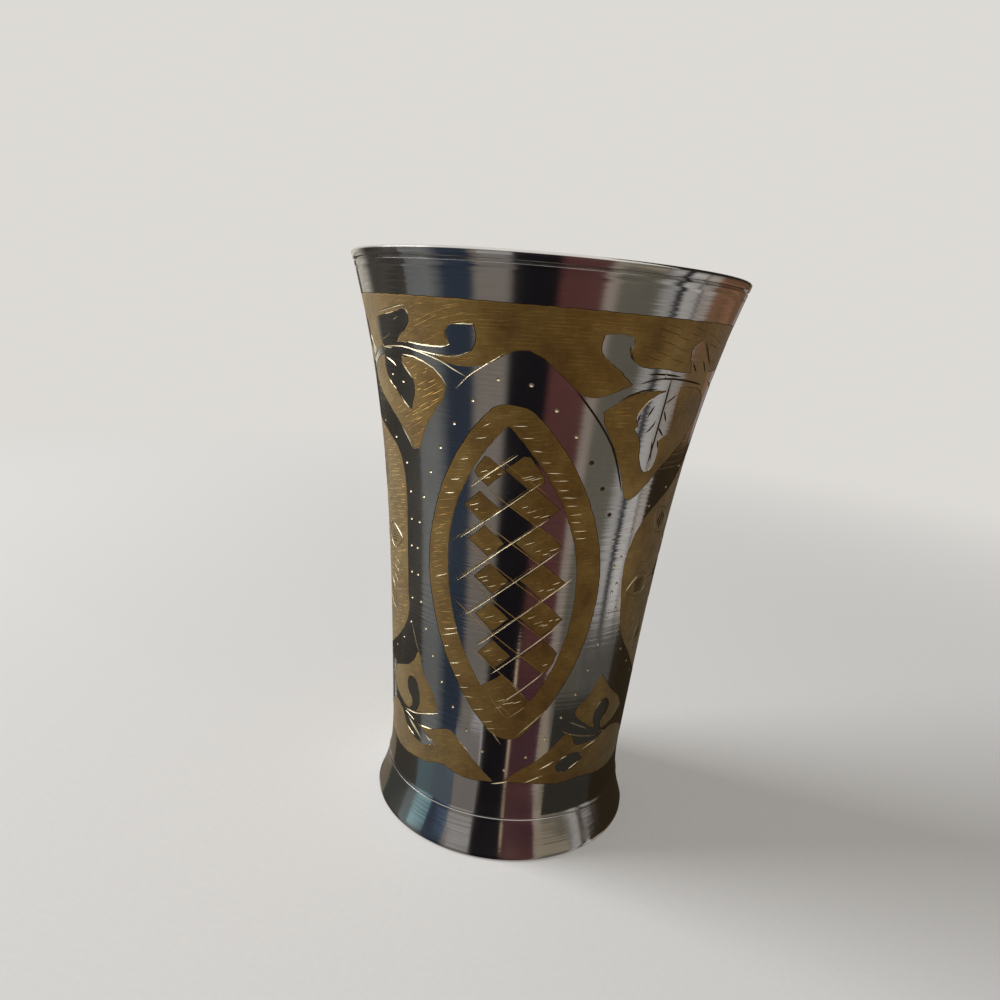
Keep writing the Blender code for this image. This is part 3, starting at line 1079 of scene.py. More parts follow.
def mesh_sector(points, edges, grid, low, high):
    """Triangles of one upright sector of the skin, between two flat positions."""
    rows = skin_rows()
    near = (points[:, 0] > low - SECTOR_MARGIN_MM) & (points[:, 0] < high + SECTOR_MARGIN_MM)
    kept = edges[near[edges[:, 0]] | near[edges[:, 1]]]
    used = np.unique(np.concatenate([kept.ravel(), np.where(near)[0]]))
    place = np.full(len(points), -1)
    place[used] = np.arange(len(used))
    border = COLUMN_MM * SECTOR_BORDER
    between = grid[(grid[:, 0] > low + border) & (grid[:, 0] < high - border)]
    wide = np.linspace(low, high, SEGMENTS // (2 * SECTORS) + 1)
    verts = [points[used], between]
    links = [place[kept]]
    count = len(used) + len(between)
    for x, y in ((low, rows), (high, rows), (wide, rows[0]), (wide, rows[-1])):
        verts.append(together(x, y))
        chain = np.arange(count, count + len(verts[-1]))
        links.append(together(chain[:-1], chain[1:]))
        count += len(chain)
    verts = [Vector(vert) for vert in np.vstack(verts).tolist()]
    result = delaunay_2d_cdt(verts, np.vstack(links).tolist(), [], 0, WELD_MM)
    corners = np.array([tuple(vert) for vert in result[0]])
    triangles = np.array(result[2])
    centres = corners[triangles].mean(1)
    in_sector = (centres[:, 0] > low) & (centres[:, 0] < high)
    in_skin = (centres[:, 1] > rows[0]) & (centres[:, 1] < rows[-1])
    return corners[triangles[in_sector & in_skin]]


def weld(corners):
    """Unique points of a triangle soup, and the triangles as indices into them."""
    keys = np.round(corners.reshape(-1, corners.shape[-1]) / (WELD_MM * 10)).astype(np.int64)
    _, first, index = np.unique(keys, axis=0, return_index=True, return_inverse=True)
    triangles = index.reshape(-1, 3)
    solid = (triangles[:, 0] != triangles[:, 1]) & (triangles[:, 1] != triangles[:, 2])
    solid &= triangles[:, 2] != triangles[:, 0]
    return corners.reshape(-1, corners.shape[-1])[first], triangles[solid]


def skin_states(art, centres):
    """0 plate, 1 trench side, 2 trench back, 3 brass floor, for each triangle by its centre."""
    state = np.zeros(len(centres), int)
    for kind, loops in art.shapes:
        first, second, third = (inside(loop, centres) for loop in loops)
        if kind == "field":
            state = np.maximum(state, first.astype(int) + (first & second) + (first & second & third))
        else:
            state[third & ~second & (state > 2)] = 2
            state[second & ~first & (state > 1)] = 1
            state[first] = 0
    return state


def cut_depth(cuts, dots, points):
    """How deep cuts and dots go at each flat point."""
    order = np.argsort(points[:, 0])
    sorted_x = points[order, 0]
    depth = np.zeros(len(points))

    def pick(low, high):
        found = order[np.searchsorted(sorted_x, low[0]):np.searchsorted(sorted_x, high[0], "right")]
        return found[(points[found, 1] >= low[1]) & (points[found, 1] <= high[1])]

    for line, half, deepest, finish in cuts:
        widest = half.max()
        for start, end, half_start, half_end in zip(line, line[1:], half, half[1:]):
            found = pick(np.minimum(start, end) - widest, np.maximum(start, end) + widest)
            if len(found) == 0:
                continue
            along = end - start
            share = np.clip((points[found] - start) @ along / (along @ along + 1e-12), 0.0, 1.0)
            away = np.linalg.norm(points[found] - start - share[:, None] * along, axis=1)
            local = half_start + (half_end - half_start) * share
            found_depth = deepest * (local - away) / widest
            depth[found] = np.maximum(depth[found], found_depth)
    for centre, radius, deepest, finish in dots:
        found = pick(centre - radius, centre + radius)
        away = np.linalg.norm(points[found] - centre, axis=1)
        depth[found] = np.maximum(depth[found], deepest * (1 - away / radius))
    return depth


def meshed_half(art):
    """Flat points, their depths, triangles and each triangle's finish for half the wall."""
    points, edges = drawn_edges(art)
    grid = skin_grid(points, edges)
    borders = np.linspace(-HALF_TURN / 2, HALF_TURN / 2, SECTORS + 1) * FLAT_MM_PER_DEGREE
    soup = [mesh_sector(points, edges, grid, low, high) for low, high in zip(borders, borders[1:])]
    corners, triangles = weld(np.concatenate(soup))
    centres = corners[triangles].mean(1)
    state = skin_states(art, centres)
    level = np.full(len(corners), FIELD_DEPTH_MM)
    level[triangles[state == 1].ravel()] = TRENCH_DEPTH_MM
    level[triangles[state == 0].ravel()] = 0.0
    level += cut_depth(art.cuts, art.dots, corners)
    # Trench sides take the dark brass finish, painted shade along the edge of each brass field.
    finish = np.choose(state, (PLATE_FINISH, PAINTED_SHADE_FINISH, HATCH_FINISH, BRASS_FINISH))
    for kind in (HATCH_FINISH, PAINTED_SHADE_FINISH, CUT_FINISH):
        cuts = [cut for cut in art.cuts if cut[3] == kind]
        dots = [dot for dot in art.dots if dot[3] == kind]
        finish[cut_depth(cuts, dots, centres) > CUT_SHOWS_MM] = kind
    return corners, level, triangles, finish


# Turned surfaces.

def round_points(radius, height, degrees):
    """Points on the cup for radii, heights and degrees round from the camera's side."""
    turn = np.radians(degrees)
    return together(radius * np.sin(turn), -radius * np.cos(turn), height)


def lathe(profile, closed, high_v=1.0):
    """Quads of a turned (radius, height) profile as corner points, and their UVs."""
    profile = np.asarray(profile, float)
    if closed:
        profile = np.vstack([profile, profile[:1]])
    run = lengths_along(profile)
    turn = -HALF_TURN / 2 + COLUMN_DEGREES * np.arange(SEGMENTS + 1)
    points = round_points(profile[:, :1], profile[:, 1:], turn)
    across, up = np.arange(SEGMENTS + 1) / SEGMENTS, high_v * run / run[-1]
    uv = together(across, up[:, None])

    def quads(grid):
        corners = [grid[:-1, :-1], grid[:-1, 1:], grid[1:, 1:], grid[1:, :-1]]
        return np.stack(corners, 2).reshape(-1, 4, grid.shape[-1])

    return quads(points), quads(uv)


def arc(centre_x, centre_z, radius, start, end, steps):
    """Points of an arc, with its angles in degrees from +X towards +Z."""
    angles = np.radians(np.linspace(start, end, steps + 1))
    return [(centre_x + radius * math.cos(angle), centre_z + radius * math.sin(angle)) for angle in angles]


def groove(drop, width, depth):
    """A V groove of the lathe, as profile points from its lower edge to its upper one."""
    top = HEIGHT - drop
    middle = top - width / 2
    return [(outer(top - width), top - width), (outer(middle) - depth, middle), (outer(top), top)]


def new_object(name, data):
    """A new object in the scene."""
    thing = bpy.data.objects.new(name, data)
    bpy.context.collection.objects.link(thing)
    return thing


def new_piece(name, polygons, polygon_uv, materials, node, slot, finishes=0):
    """A mesh object from polygon corners, welded, with its bake map and its place in the frame."""
    corners = np.concatenate(polygons)
    polygon_uv = np.reshape(polygon_uv, (-1, 2))
    keys = np.round(corners / POINT_WELD).astype(np.int64)
    _, first, index = np.unique(keys, axis=0, return_index=True, return_inverse=True)
    index = index.ravel()
    starts = np.concatenate([[0], np.cumsum([len(polygon) for polygon in polygons])])
    faces, uvs, kept = [], [], []
    for number, (start, end) in enumerate(zip(starts, starts[1:])):
        known = {}
        for corner in range(start, end):
            known.setdefault(int(index[corner]), polygon_uv[corner])
        if len(known) > 2:
            faces.append(list(known))
            uvs.extend(known.values())
            kept.append(number)
    mesh = bpy.data.meshes.new(name)
    mesh.from_pydata(corners[first].tolist(), [], faces)
    layer = mesh.uv_layers.new(name="OFBake")
    layer.data.foreach_set("uv", np.array(uvs, np.float32).ravel())
    for material in materials:
        mesh.materials.append(material)
    finishes = np.broadcast_to(np.asarray(finishes, np.int32), len(polygons))
    mesh.polygons.foreach_set("material_index", finishes[kept])
    mesh.update()
    mesh.shade_smooth()
    mesh.set_sharp_from_angle(angle=SHARP_ANGLE)
    piece = new_object(name, mesh)
    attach(piece, "root")
    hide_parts(node)
    return piece


# Pieces.

def engraved_wall(materials):
    """The spun wall with its cut ornament, lathe grooves, rolled lip and plain inside."""
    corners, level, triangles, finish = meshed_half(draw_half())
    polygons, polygon_uv, finishes = [], [], []
    height = corners[:, 1] / 1000
    radius = outer(height) - level / 1000
    up = SKIN_MAP_LOW + (1 - SKIN_MAP_LOW) * (height - SKIN_LOW) / (SKIN_TOP - SKIN_LOW)
    for half in (0, 1):
        degrees = corners[:, 0] / FLAT_MM_PER_DEGREE + HALF_TURN * half
        uv = together((degrees + HALF_TURN / 2) / 360, up)
        polygons.extend(round_points(radius, height, degrees)[triangles])
        polygon_uv.append(uv[triangles].reshape(-1, 2))
        finishes.extend(finish)
    lip = WALL / 2
    lip_z = HEIGHT - lip
    heights = SKIN_LOW + (lip_z - SKIN_LOW) * np.linspace(1.0, 0.0, INSIDE_ROWS) ** INSIDE_ROW_POWER
    profile = [(outer(SKIN_TOP), SKIN_TOP)]
    profile += groove(SECOND_GROOVE_DROP, SECOND_GROOVE_WIDTH, SECOND_GROOVE_DEPTH)
    profile += groove(LIP_GROOVE_DROP, LIP_GROOVE_WIDTH, LIP_GROOVE_DEPTH)
    outside_count = (len(profile) + LIP_STEPS // 2) * SEGMENTS
    profile += arc(outer(lip_z) - lip, lip_z, lip, 0, 180, LIP_STEPS)
    profile += [(inner(z), z) for z in heights[1:]]
    profile.append((outer(SKIN_LOW), SKIN_LOW))
    quads, quad_uv = lathe(profile, False, SKIN_MAP_LOW - SKIN_MAP_GAP)
    polygons.extend(quads)
    polygon_uv.append(quad_uv.reshape(-1, 2))
    finishes += [PLATE_FINISH] * outside_count + [INSIDE_FINISH] * (len(quads) - outside_count)
    piece = new_piece("engraved_wall", polygons, np.concatenate(polygon_uv), materials,
                      "body_wall", "plated_wall", finishes)
    smooth_skin(piece.data)


def smooth_skin(mesh):
    """Plate and brass take the turned form's own normals, so that they mirror evenly."""
    def read(items, attribute, kind, width):
        values = np.empty(len(items) * width, kind)
        items.foreach_get(attribute, values)
        return values.reshape(-1, width)

    counts = read(mesh.polygons, "loop_total", np.int32, 1)[:, 0]
    finish = np.repeat(read(mesh.polygons, "material_index", np.int32, 1)[:, 0], counts)
    facets = np.repeat(read(mesh.polygons, "normal", np.float32, 3), counts, axis=0)
    verts = read(mesh.loops, "vertex_index", np.int32, 1)[:, 0]
    places = read(mesh.vertices, "co", np.float32, 3)[verts]
    normals = np.array([corner.vector for corner in mesh.corner_normals])
    reach = np.hypot(places[:, 0], places[:, 1])
    turned = together(places[:, 0] / reach, places[:, 1] / reach, -outer_slope(places[:, 2]))
    on_skin = np.repeat(counts == 3, counts)
    even = on_skin & ((finish == PLATE_FINISH) | (finish == BRASS_FINISH))
    turned /= np.linalg.norm(turned, axis=1, keepdims=True)
    normals[even] = turned[even]
    normals[on_skin & ~even] = facets[on_skin & ~even]
    mesh.normals_split_custom_set(normals.tolist())


def turned_foot(material):
    """The flared foot ring with its bright seam bead, edge lines and spigot."""
    top = SEAM_HEIGHT
    bead_z = top - SEAM_BEAD_HEIGHT / 2
    band_heights = np.linspace(FOOT_EDGE, top - SEAM_BEAD_HEIGHT, FOOT_ROWS)
    profile = [(outer(0.0) - FOOT_WALL, 0.0), (outer(FOOT_EDGE) - FOOT_FLAT * FOOT_EDGE, 0.0)]
    profile += arc(outer(FOOT_EDGE) - FOOT_EDGE, FOOT_EDGE, FOOT_EDGE, -80, 0, 4)
    profile += [(outer(z), z) for z in band_heights[1:]]
    profile += arc(outer(bead_z), bead_z, SEAM_BEAD, -75, 75, 6)
    profile.append((outer(top), top))
    profile += [(inner(z) - SPIGOT_GAP, z) for z in np.linspace(top, SPIGOT_TOP, 5)]
    profile += [(outer(z) - FOOT_WALL, z) for z in np.linspace(SPIGOT_TOP, 0.0, 12)[:-1]]
    new_piece("turned_foot", *lathe(profile, True), [material], "foot_ring", "plated_foot")


def pressed_floor(material):
    """The crowned floor with pressed rings and a turned-down flange."""
    corner = FLOOR_BEND + FLOOR_SHEET
    corner_z = FLOOR_TOP - corner
    corner_x = inner(corner_z) - SPIGOT_GAP - corner
    low = FLOOR_TOP - FLOOR_FLANGE
    edge = inner(low) - SPIGOT_GAP

    def height(share):
        waves = (math.exp(-((share - middle) / FLOOR_RING_WIDTH) ** 2) for middle in FLOOR_RINGS)
        return FLOOR_TOP + FLOOR_CROWN * (1 - share ** 2) - FLOOR_RING * sum(waves)

    shares = np.linspace(0.0, 1.0, FLOOR_ROWS)
    profile = [(corner_x * share, height(share) - FLOOR_SHEET) for share in shares]
    profile += arc(corner_x, corner_z, FLOOR_BEND, 90, 0, 4)[1:]
    profile += [(edge - FLOOR_SHEET, low), (edge, low)]
    profile += arc(corner_x, corner_z, corner, 0, 90, 6)
    profile += [(corner_x * share, height(share)) for share in shares[::-1][1:]]
    new_piece("pressed_floor", *lathe(profile, False), [material], "floor_disc", "plated_floor")


def solder_ring(name, profile, material, node, seed):
    """A bead of solder that swells and thins a little round its ring."""
    quads, quad_uv = lathe(profile, True)
    draw = random.Random(seed)
    waves = [(count, draw.uniform(0.0, math.tau), draw.uniform(0.4, 1.0)) for count in SOLDER_WAVES]
    turn = np.arctan2(quads[..., 0], -quads[..., 1])
    swell = sum(size * np.sin(count * turn + shift) for count, shift, size in waves) / len(waves)
    reach = np.hypot(quads[..., 0], quads[..., 1])
    free = np.clip((reach.max() - reach) / SOLDER_LEG, 0.0, 1.0)
    quads[..., :2] *= (1 + SOLDER_SWELL * swell * free / reach)[..., None]
    new_piece(name, quads, quad_uv, [material], node, "solder")


def floor_fillet(material):
    """The solder fillet inside, in the corner of floor and wall."""
    low = FLOOR_TOP + SOLDER_GAP
    wall_x = inner(low) - FILLET_WALL_GAP
    toe = wall_x - FLOOR_BEND - FLOOR_SHEET - SOLDER_LEG
    hollow = [(wall_x - (wall_x - toe) * (1 - t) ** FILLET_POWER, low + SOLDER_LEG * t ** FILLET_POWER)
              for t in np.linspace(0, 1, 9)]
    profile = [(toe, low), (wall_x, low)] + hollow[::-1][:-1]
    solder_ring("floor_fillet", profile, material, "floor_solder", 5)


def foot_fillet(material):
    """The solder bead under the floor, on top of the foot's spigot."""
    low = SPIGOT_TOP + SOLDER_GAP
    high = low + SOLDER_LEG
    wall_x = inner(low) - SOLDER_GAP
    profile = [(wall_x, low), (wall_x, high)]
    profile += arc(wall_x - BEAD_REACH, (low + high) / 2, SOLDER_LEG / 2, 90, 270, 8)
    solder_ring("foot_fillet", profile, material, "foot_solder", 9)


# Materials.

def feed(tree, node, inputs):
    """Give a node its inputs: another node's output is linked, anything else is set as a value."""
    for socket, value in inputs.items():
        if isinstance(value, bpy.types.NodeSocket):
            tree.links.new(value, node.inputs[socket])
        else:
            node.inputs[socket].default_value = value


def add_node(tree, kind, inputs=None, **settings):
    """A new shader node with its settings and inputs."""
    node = tree.nodes.new("ShaderNode" + kind)
    for name, value in settings.items():
        setattr(node, name, value)
    feed(tree, node, inputs or {})
    return node


def new_material(name):
    """A new material, its node tree and its shader."""
    material = bpy.data.materials.new(name)
    material.use_nodes = True
    return material, material.node_tree, material.node_tree.nodes["Principled BSDF"]


def metal(name, roughness, anisotropy=0.0):
    """A metallic material, its node tree and its shader."""
    material, tree, shader = new_material(name)
    feed(tree, shader, {"Metallic": 1.0, "Roughness": roughness, "Anisotropic": anisotropy})
    if anisotropy:
        tangent = add_node(tree, "Tangent", direction_type="RADIAL", axis="Z")
        feed(tree, shader, {"Tangent": tangent.outputs["Tangent"], "Anisotropic Rotation": 0.25})
    return material, tree, shader


def own_place(tree):
    """The object's own coordinates."""
    return add_node(tree, "TexCoord").outputs["Object"]


def noise(tree, scale, stretch=EVEN, detail=3.0, roughness=0.5):
    """Noise on the object's own coordinates, stretched by a scale along each axis."""
    mapping = add_node(tree, "Mapping", {"Vector": own_place(tree), "Scale": stretch})
    texture = add_node(tree, "TexNoise", {"Vector": mapping.outputs["Vector"], "Scale": scale,
                                          "Detail": detail, "Roughness": roughness})
    return texture.outputs["Fac"]


def ramp(tree, source, *stops):
    """A colour ramp over a value; stops are (position, colour) pairs."""
    node = add_node(tree, "ValToRGB", {"Fac": source})
    elements = node.color_ramp.elements
    while len(elements) < len(stops):
        elements.new(0.5)
    for element, (position, colour) in zip(elements, stops):
        element.position = position
        element.color = (*colour, 1.0)
    return node.outputs["Color"]


def grey_ramp(tree, source, *stops):
    """A ramp of greys over a value; stops are (position, grey) pairs."""
    return ramp(tree, source, *[(position, (value, value, value)) for position, value in stops])


def shade(colour, factor):
    """A colour made darker or lighter by a factor."""
    return tuple(factor * channel for channel in colour)


def bump(tree, shader, source, distance, below=None):
    """Bump from a value on a shader, over an earlier bump if there is one."""
    node = add_node(tree, "Bump", {"Height": source, "Distance": distance, "Strength": 1.0})
    if below is not None:
        feed(tree, node, {"Normal": below})
    feed(tree, shader, {"Normal": node.outputs["Normal"]})
    return node.outputs["Normal"]


def plate_material(name):
    """Bright nickel plate with lathe lines, faint stains and worn sheen."""
    material, tree, shader = metal(name, PLATE_ROUGHNESS, PLATE_ANISOTROPY)
    stains = noise(tree, 60.0, (1.0, 1.0, 0.6), 5.0)
    smears = noise(tree, 140.0, (1.0, 1.0, 0.35), 4.0)
    wear = (0.35, PLATE_ROUGHNESS * 0.8), (0.75, PLATE_ROUGHNESS * 1.5)
    feed(tree, shader, {"Base Color": ramp(tree, stains, (0.30, PLATE_DULL), (0.62, PLATE_COLOUR)),
                        "Roughness": grey_ramp(tree, smears, *wear)})
    bump(tree, shader, noise(tree, 1700.0, LATHE_LINES, 2.0), PLATE_LINES_DEEP)
    return material


def brass_material(name, lightness):
    """Cut-away brass, dull and hatched, darker where tarnish has settled."""
    material, tree, shader = metal(name, 0.5)
    patches = noise(tree, 130.0, EVEN, 7.0, 0.68)
    # Lightness scales the brass colours; the copy at a quarter of the lightness is painted shade.
    shades = [shade(colour, lightness) for colour in (BRASS_DARK, BRASS_COLOUR, BRASS_LIGHT)]
    feed(tree, shader, {"Metallic": BRASS_METALLIC,
                        "Sheen Weight": BRASS_HAZE * min(lightness, 1.0),
                        "Sheen Tint": (*HAZE_COLOUR, 1.0),
                        "Base Color": ramp(tree, patches, *zip((0.32, 0.52, 0.72), shades)),
                        "Roughness": grey_ramp(tree, patches, (0.3, 0.56), (0.7, 0.44))})
    strokes = bump(tree, shader, noise(tree, 1100.0, (0.22, 0.22, 1.0), 2.0), BRASS_STROKES_DEEP)
    bump(tree, shader, noise(tree, 4200.0, EVEN, 2.0), BRASS_GRAIN_DEEP, strokes)
    return material


def cut_material():
    """Freshly cut brass in the graver's strokes and trenches."""
    material, tree, shader = metal("bright_cut", 0.24)
    worn = noise(tree, 420.0, EVEN, 4.0)
    feed(tree, shader, {"Base Color": ramp(tree, worn, (0.30, CUT_DULL), (0.58, CUT_COLOUR)),
                        "Roughness": grey_ramp(tree, worn, (0.3, 0.34), (0.7, 0.20))})
    bump(tree, shader, noise(tree, 6000.0, EVEN, 1.0), CUT_GRAIN_DEEP)
    return material


def satin_material():
    """Satin plate inside the cup, with turning lines and water marks."""
    material, tree, shader = metal("satin_inside", INSIDE_ROUGHNESS, 0.5)
    marks = noise(tree, 45.0, EVEN, 1.0)
    sheen = (0.3, INSIDE_ROUGHNESS * 1.2), (0.7, INSIDE_ROUGHNESS * 0.95)
    feed(tree, shader, {"Base Color": ramp(tree, marks, (0.25, INSIDE_DULL), (0.75, INSIDE_COLOUR)),
                        "Roughness": grey_ramp(tree, marks, *sheen)})
    bump(tree, shader, noise(tree, 2200.0, LATHE_LINES, 2.0), INSIDE_LINES_DEEP)
    return material


def floor_material():
    """Satin plate on the floor, with rings from the lathe."""
    material, tree, shader = metal("satin_floor", 0.30, 0.6)
    marks = noise(tree, 95.0, EVEN, 6.0, 0.6)
    feed(tree, shader, {"Base Color": ramp(tree, marks, (0.30, FLOOR_DULL), (0.62, FLOOR_COLOUR))})
    rings = add_node(tree, "TexWave", {"Vector": own_place(tree), "Scale": 420.0, "Distortion": 1.2,
                                       "Detail": 2.0}, wave_type="RINGS", rings_direction="Z")
    bump(tree, shader, rings.outputs["Fac"], FLOOR_RINGS_DEEP)
    return material


def solder_material(name, colour):
    """Dull grey solder with a frosty grain."""
    material, tree, shader = metal(name, 0.45)
    frost = noise(tree, 600.0, EVEN, 5.0, 0.6)
    feed(tree, shader, {"Base Color": ramp(tree, frost, (0.30, shade(colour, 0.65)), (0.65, colour)),
                        "Roughness": grey_ramp(tree, frost, (0.3, 0.58), (0.7, 0.36))})
    bump(tree, shader, noise(tree, 900.0, EVEN, 4.0), SOLDER_GRAIN_DEEP)
    return material


# Stage, light and camera.

def camera_axes():
    """Right, up and forward directions of the camera."""
    yaw, pitch, roll = (math.radians(angle) for angle in (CAMERA_YAW, CAMERA_PITCH, CAMERA_ROLL))
    ahead = Vector((math.sin(yaw) * math.cos(pitch), math.cos(yaw) * math.cos(pitch), math.sin(pitch)))
    level = Vector((math.cos(yaw), -math.sin(yaw), 0.0))
    upright = level.cross(ahead)
    right = math.cos(roll) * level + math.sin(roll) * upright
    up = math.cos(roll) * upright - math.sin(roll) * level
    return right, up, ahead


def place_camera():
    """The camera at the photograph's viewing angle."""
    data = bpy.data.cameras.new("camera")
    data.sensor_width = CAMERA_SENSOR
    data.lens = CAMERA_LENS
    data.clip_start = CAMERA_CLIP
    camera = new_object("camera", data)
    right, up, ahead = camera_axes()
    turn = Matrix((right, up, -ahead)).transposed()
    camera.matrix_world = Matrix.Translation(CAMERA_PLACE) @ turn.to_4x4()
    bpy.context.scene.camera = camera


def mirror_ray(degrees, height):
    """The wall's point at an angle and a height, and the camera's ray as it is mirrored there."""
    radius = float(outer(height))
    point = Vector(round_points(radius, height, degrees).tolist())
    normal = Vector((point.x / radius, point.y / radius, -float(outer_slope(height)))).normalized()
    return point, (point - Vector(CAMERA_PLACE)).normalized().reflect(normal)


def mirrored(degrees, height):
    """Degrees round the stage at which the camera sees it mirrored in the wall."""
    point, ray = mirror_ray(degrees, height)
    along = point.x * ray.x + point.y * ray.y
    across = ray.x ** 2 + ray.y ** 2
    gap = point.x ** 2 + point.y ** 2 - DOME_RADIUS ** 2
    reach = (-along + math.sqrt(along ** 2 - across * gap)) / across
    hit = point + ray * reach
    return math.degrees(math.atan2(hit.x, -hit.y))


def emission(name, colour=None):
    """An unlit material of one colour, its node tree and its emission shader."""
    material, tree, shader = new_material(name)
    tree.nodes.remove(shader)
    light = add_node(tree, "Emission", {"Color": (*colour, 1.0)} if colour else None)
    feed(tree, tree.nodes["Material Output"], {"Surface": light.outputs["Emission"]})
    material.cycles.emission_sampling = "NONE"
    return material, tree, light


def mix_colours(tree, factor, first, second, blend="MIX"):
    """Two colours mixed by a factor."""
    node = add_node(tree, "Mix", {"Factor": factor, "A": first, "B": second},
                    data_type="RGBA", blend_type=blend)
    return node.outputs["Result"]


def mix_shaders(tree, share, first, second, output):
    """Two shaders mixed by a share, as the surface of an output."""
    mix = add_node(tree, "MixShader", {"Fac": share, 1: first, 2: second})
    feed(tree, tree.nodes[output], {"Surface": mix.outputs["Shader"]})


def camera_ray(tree):
    """One for rays that come from the camera, and zero for others."""
    return add_node(tree, "LightPath").outputs["Is Camera Ray"]


def reflection_dome():
    """Soft coloured cards round the cup, seen only as reflections in its metal."""
    bpy.ops.mesh.primitive_uv_sphere_add(segments=48, ring_count=24, radius=DOME_RADIUS)
    dome = bpy.context.object
    dome.name = "reflection_dome"
    material, tree, light = emission("reflection_cards")
    turn = add_node(tree, "TexGradient", {"Vector": own_place(tree)}, gradient_type="RADIAL")
    levels = noise(tree, COMB_SCALE, (0.0, 0.0, 1.0), 2.0)
    jitter = add_node(tree, "Math", {0: levels, 1: COMB_TURN, 2: turn.outputs["Fac"]},
                      operation="MULTIPLY_ADD")
    stops = sorted((gradient_share(mirrored(degrees, STREAK_HEIGHT)) + COMB_TURN / 2, colour)
                   for _, span, colour in STREAKS for degrees in span)
    streaks = ramp(tree, jitter.outputs["Value"], *stops)
    teeth = grey_ramp(tree, levels, (0.42, COMB_DARKEST), (0.58, 1.0))
    comb = mix_colours(tree, 1.0, streaks, teeth, "MULTIPLY")
    split = add_node(tree, "SeparateXYZ", {"Vector": own_place(tree)})
    rise = add_node(tree, "MapRange", {"Value": split.outputs["Z"], "From Min": CEILING_FROM * DOME_RADIUS,
                                       "From Max": CEILING_FULL * DOME_RADIUS})
    feed(tree, light, {"Color": mix_colours(tree, rise.outputs["Result"], comb, (*CEILING_COLOUR, 1.0))})
    dome.data.materials.append(material)
    only_mirrored(dome)


def only_mirrored(card):
    """A card of the stage that shows in reflections alone."""
    for rays in ("camera", "diffuse", "shadow", "transmission", "volume_scatter"):
        setattr(card, "visible_" + rays, False)


def near_card(level, name, degrees, heights, colour):
    """A level card that the camera sees mirrored over one stretch of the wall."""
    grid = []
    for height in np.linspace(*heights, NEAR_CARD_STEPS):
        angles = np.linspace(*degrees, NEAR_CARD_STEPS)
        rays = [mirror_ray(angle, height * HEIGHT / 1000) for angle in angles]
        grid.append([point + ray * (level - point.z) / ray.z for point, ray in rays])
    plain_card(name, grid, colour)


def far_card(name, degrees, heights, colour):
    """A card in front of the dome, between two directions and two heights."""
    levels = np.array(heights) * DOME_RADIUS
    reach = FAR_CARD_SHARE * np.sqrt(DOME_RADIUS ** 2 - levels ** 2)
    turns = np.linspace(*degrees, FAR_CARD_STEPS)
    plain_card(name, [round_points(reach, levels, turn) for turn in turns], colour)


def plain_card(name, grid, colour):
    """A card of one colour over a grid of points, which shows in reflections alone."""
    rows, columns = len(grid), len(grid[0])
    starts = [row * columns + column for row in range(rows - 1) for column in range(columns - 1)]
    mesh = bpy.data.meshes.new(name)
    mesh.from_pydata([point for row in grid for point in row], [],
                     [(k, k + 1, k + columns + 1, k + columns) for k in starts])
    mesh.materials.append(emission(name, colour)[0])
    only_mirrored(new_object(name, mesh))


def gradient_share(degrees):
    """A direction round the cup as the share that a radial gradient gives it."""
    turn = math.radians(degrees)
    return math.atan2(-math.cos(turn), math.sin(turn)) / math.tau + 0.5


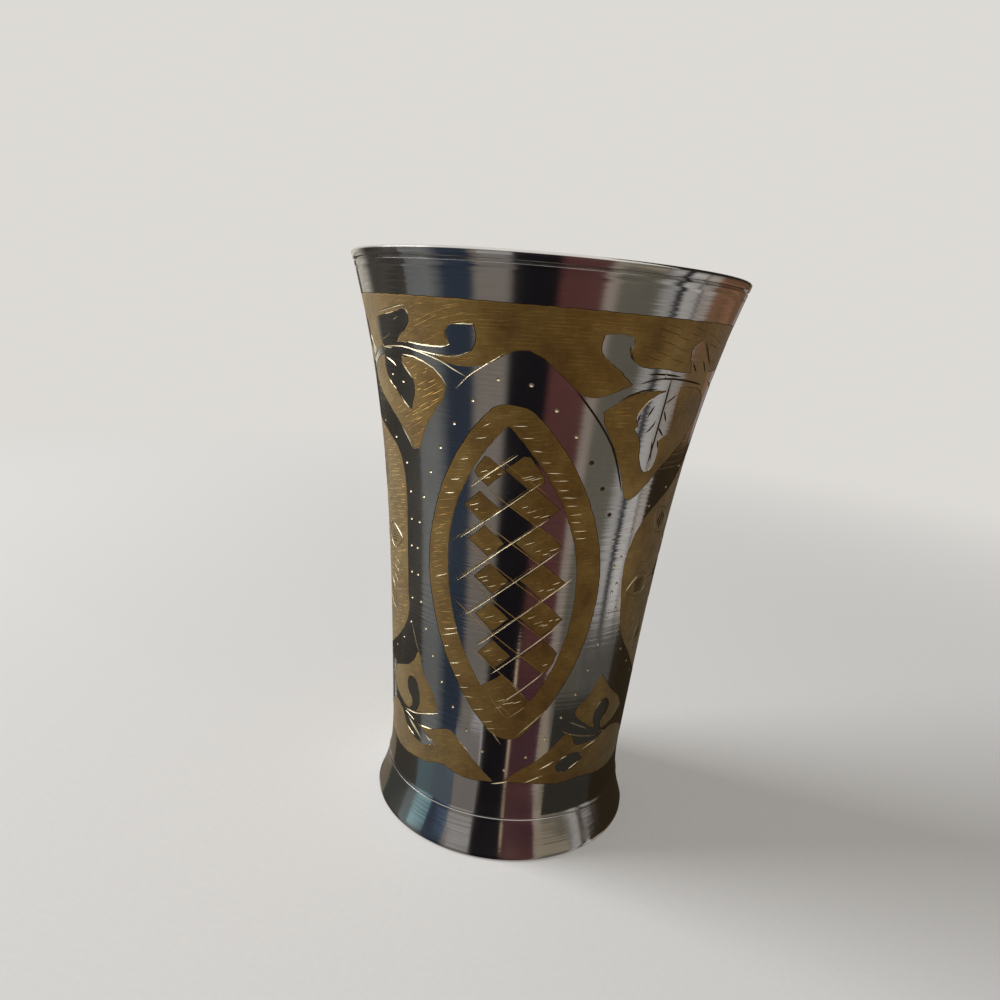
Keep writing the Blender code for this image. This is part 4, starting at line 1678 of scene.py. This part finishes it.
def studio_floor():
    """A pale round floor that fades into the backdrop's colour away from the cup."""
    bpy.ops.mesh.primitive_circle_add(vertices=96, radius=FLOOR_REACH, fill_type="NGON")
    floor = bpy.context.object
    floor.name = "studio_floor"
    floor.location.z = -FLOOR_DROP
    material, tree, shader = new_material("pale_paper")
    fibres = ramp(tree, noise(tree, 900.0), (0.3, PAPER_DARK), (0.7, PAPER_LIGHT))
    feed(tree, shader, {"Base Color": fibres, "Roughness": 0.8, "Specular IOR Level": 0.1})
    away = add_node(tree, "VectorMath", {0: own_place(tree)}, operation="LENGTH")
    fade = add_node(tree, "MapRange", {"Value": away.outputs["Value"], "From Min": FADE_FROM,
                                       "From Max": FADE_FULL, "To Min": FADE_LEAST},
                    interpolation_type="SMOOTHSTEP")
    share = add_node(tree, "Math", {0: fade.outputs["Result"], 1: camera_ray(tree)}, operation="MULTIPLY")
    plain = add_node(tree, "Emission", {"Color": (*BACKDROP_COLOUR, 1.0)})
    mix_shaders(tree, share.outputs["Value"], shader.outputs["BSDF"], plain.outputs["Emission"],
                "Material Output")
    material.cycles.emission_sampling = "NONE"
    floor.data.materials.append(material)
    floor.visible_glossy = False


def soft_light(name, place, power, colour):
    """A square soft box turned towards the cup."""
    data = bpy.data.lights.new(name, "AREA")
    data.size = SOFT_BOX
    data.energy = power
    data.color = colour
    light = new_object(name, data)
    light.location = place
    light.rotation_euler = (Vector(LIT_POINT) - Vector(place)).to_track_quat("-Z", "Y").to_euler()


def studio_light():
    """A large soft box above on the left, a weaker one on the right, and an even pale world."""
    for light in SOFT_LIGHTS:
        soft_light(*light)
    world = bpy.data.worlds.new("studio_world")
    world.use_nodes = True
    tree = world.node_tree
    around = tree.nodes["Background"]
    feed(tree, around, {"Color": (*WORLD_COLOUR, 1.0), "Strength": WORLD_STRENGTH})
    behind = add_node(tree, "Background", {"Color": (*BACKDROP_COLOUR, 1.0)})
    mix_shaders(tree, camera_ray(tree), around.outputs["Background"], behind.outputs["Background"],
                "World Output")
    bpy.context.scene.world = world


def main():
    bpy.context.scene.view_settings.view_transform = "Standard"
    # The brass at a quarter of its lightness is painted shade for trench sides, dark cuts and dark dots.
    engraved_wall([plate_material("nickel_plate"), brass_material("hatched_brass", 1.0),
                   brass_material("hatch_strokes", 1.12), cut_material(),
                   brass_material("painted_shade_brass", 0.25), satin_material()])
    turned_foot(plate_material("foot_plate"))
    pressed_floor(floor_material())
    floor_fillet(solder_material("inner_solder", INNER_SOLDER))
    foot_fillet(solder_material("under_solder", UNDER_SOLDER))
    studio_floor()
    reflection_dome()
    for card in NEAR_CARDS:
        near_card(NEAR_CARD_LEVEL, *card)
    for name, degrees, low, colour in FOOT_CARDS:
        near_card(NEAR_CARD_LEVEL, name, degrees, (low, FOOT_CARD_TOP), colour)
    for name, degrees, high, colour in WAIST_CARDS:
        near_card(SEAM_HEIGHT, name, degrees, (WAIST_CARD_LOW, high), colour)
    for name, degrees, colour in BACK_CARDS:
        far_card(name, degrees, BACK_HEIGHTS, colour)
    for card in FAR_CARDS:
        far_card(*card)
    studio_light()
    place_camera()


main()
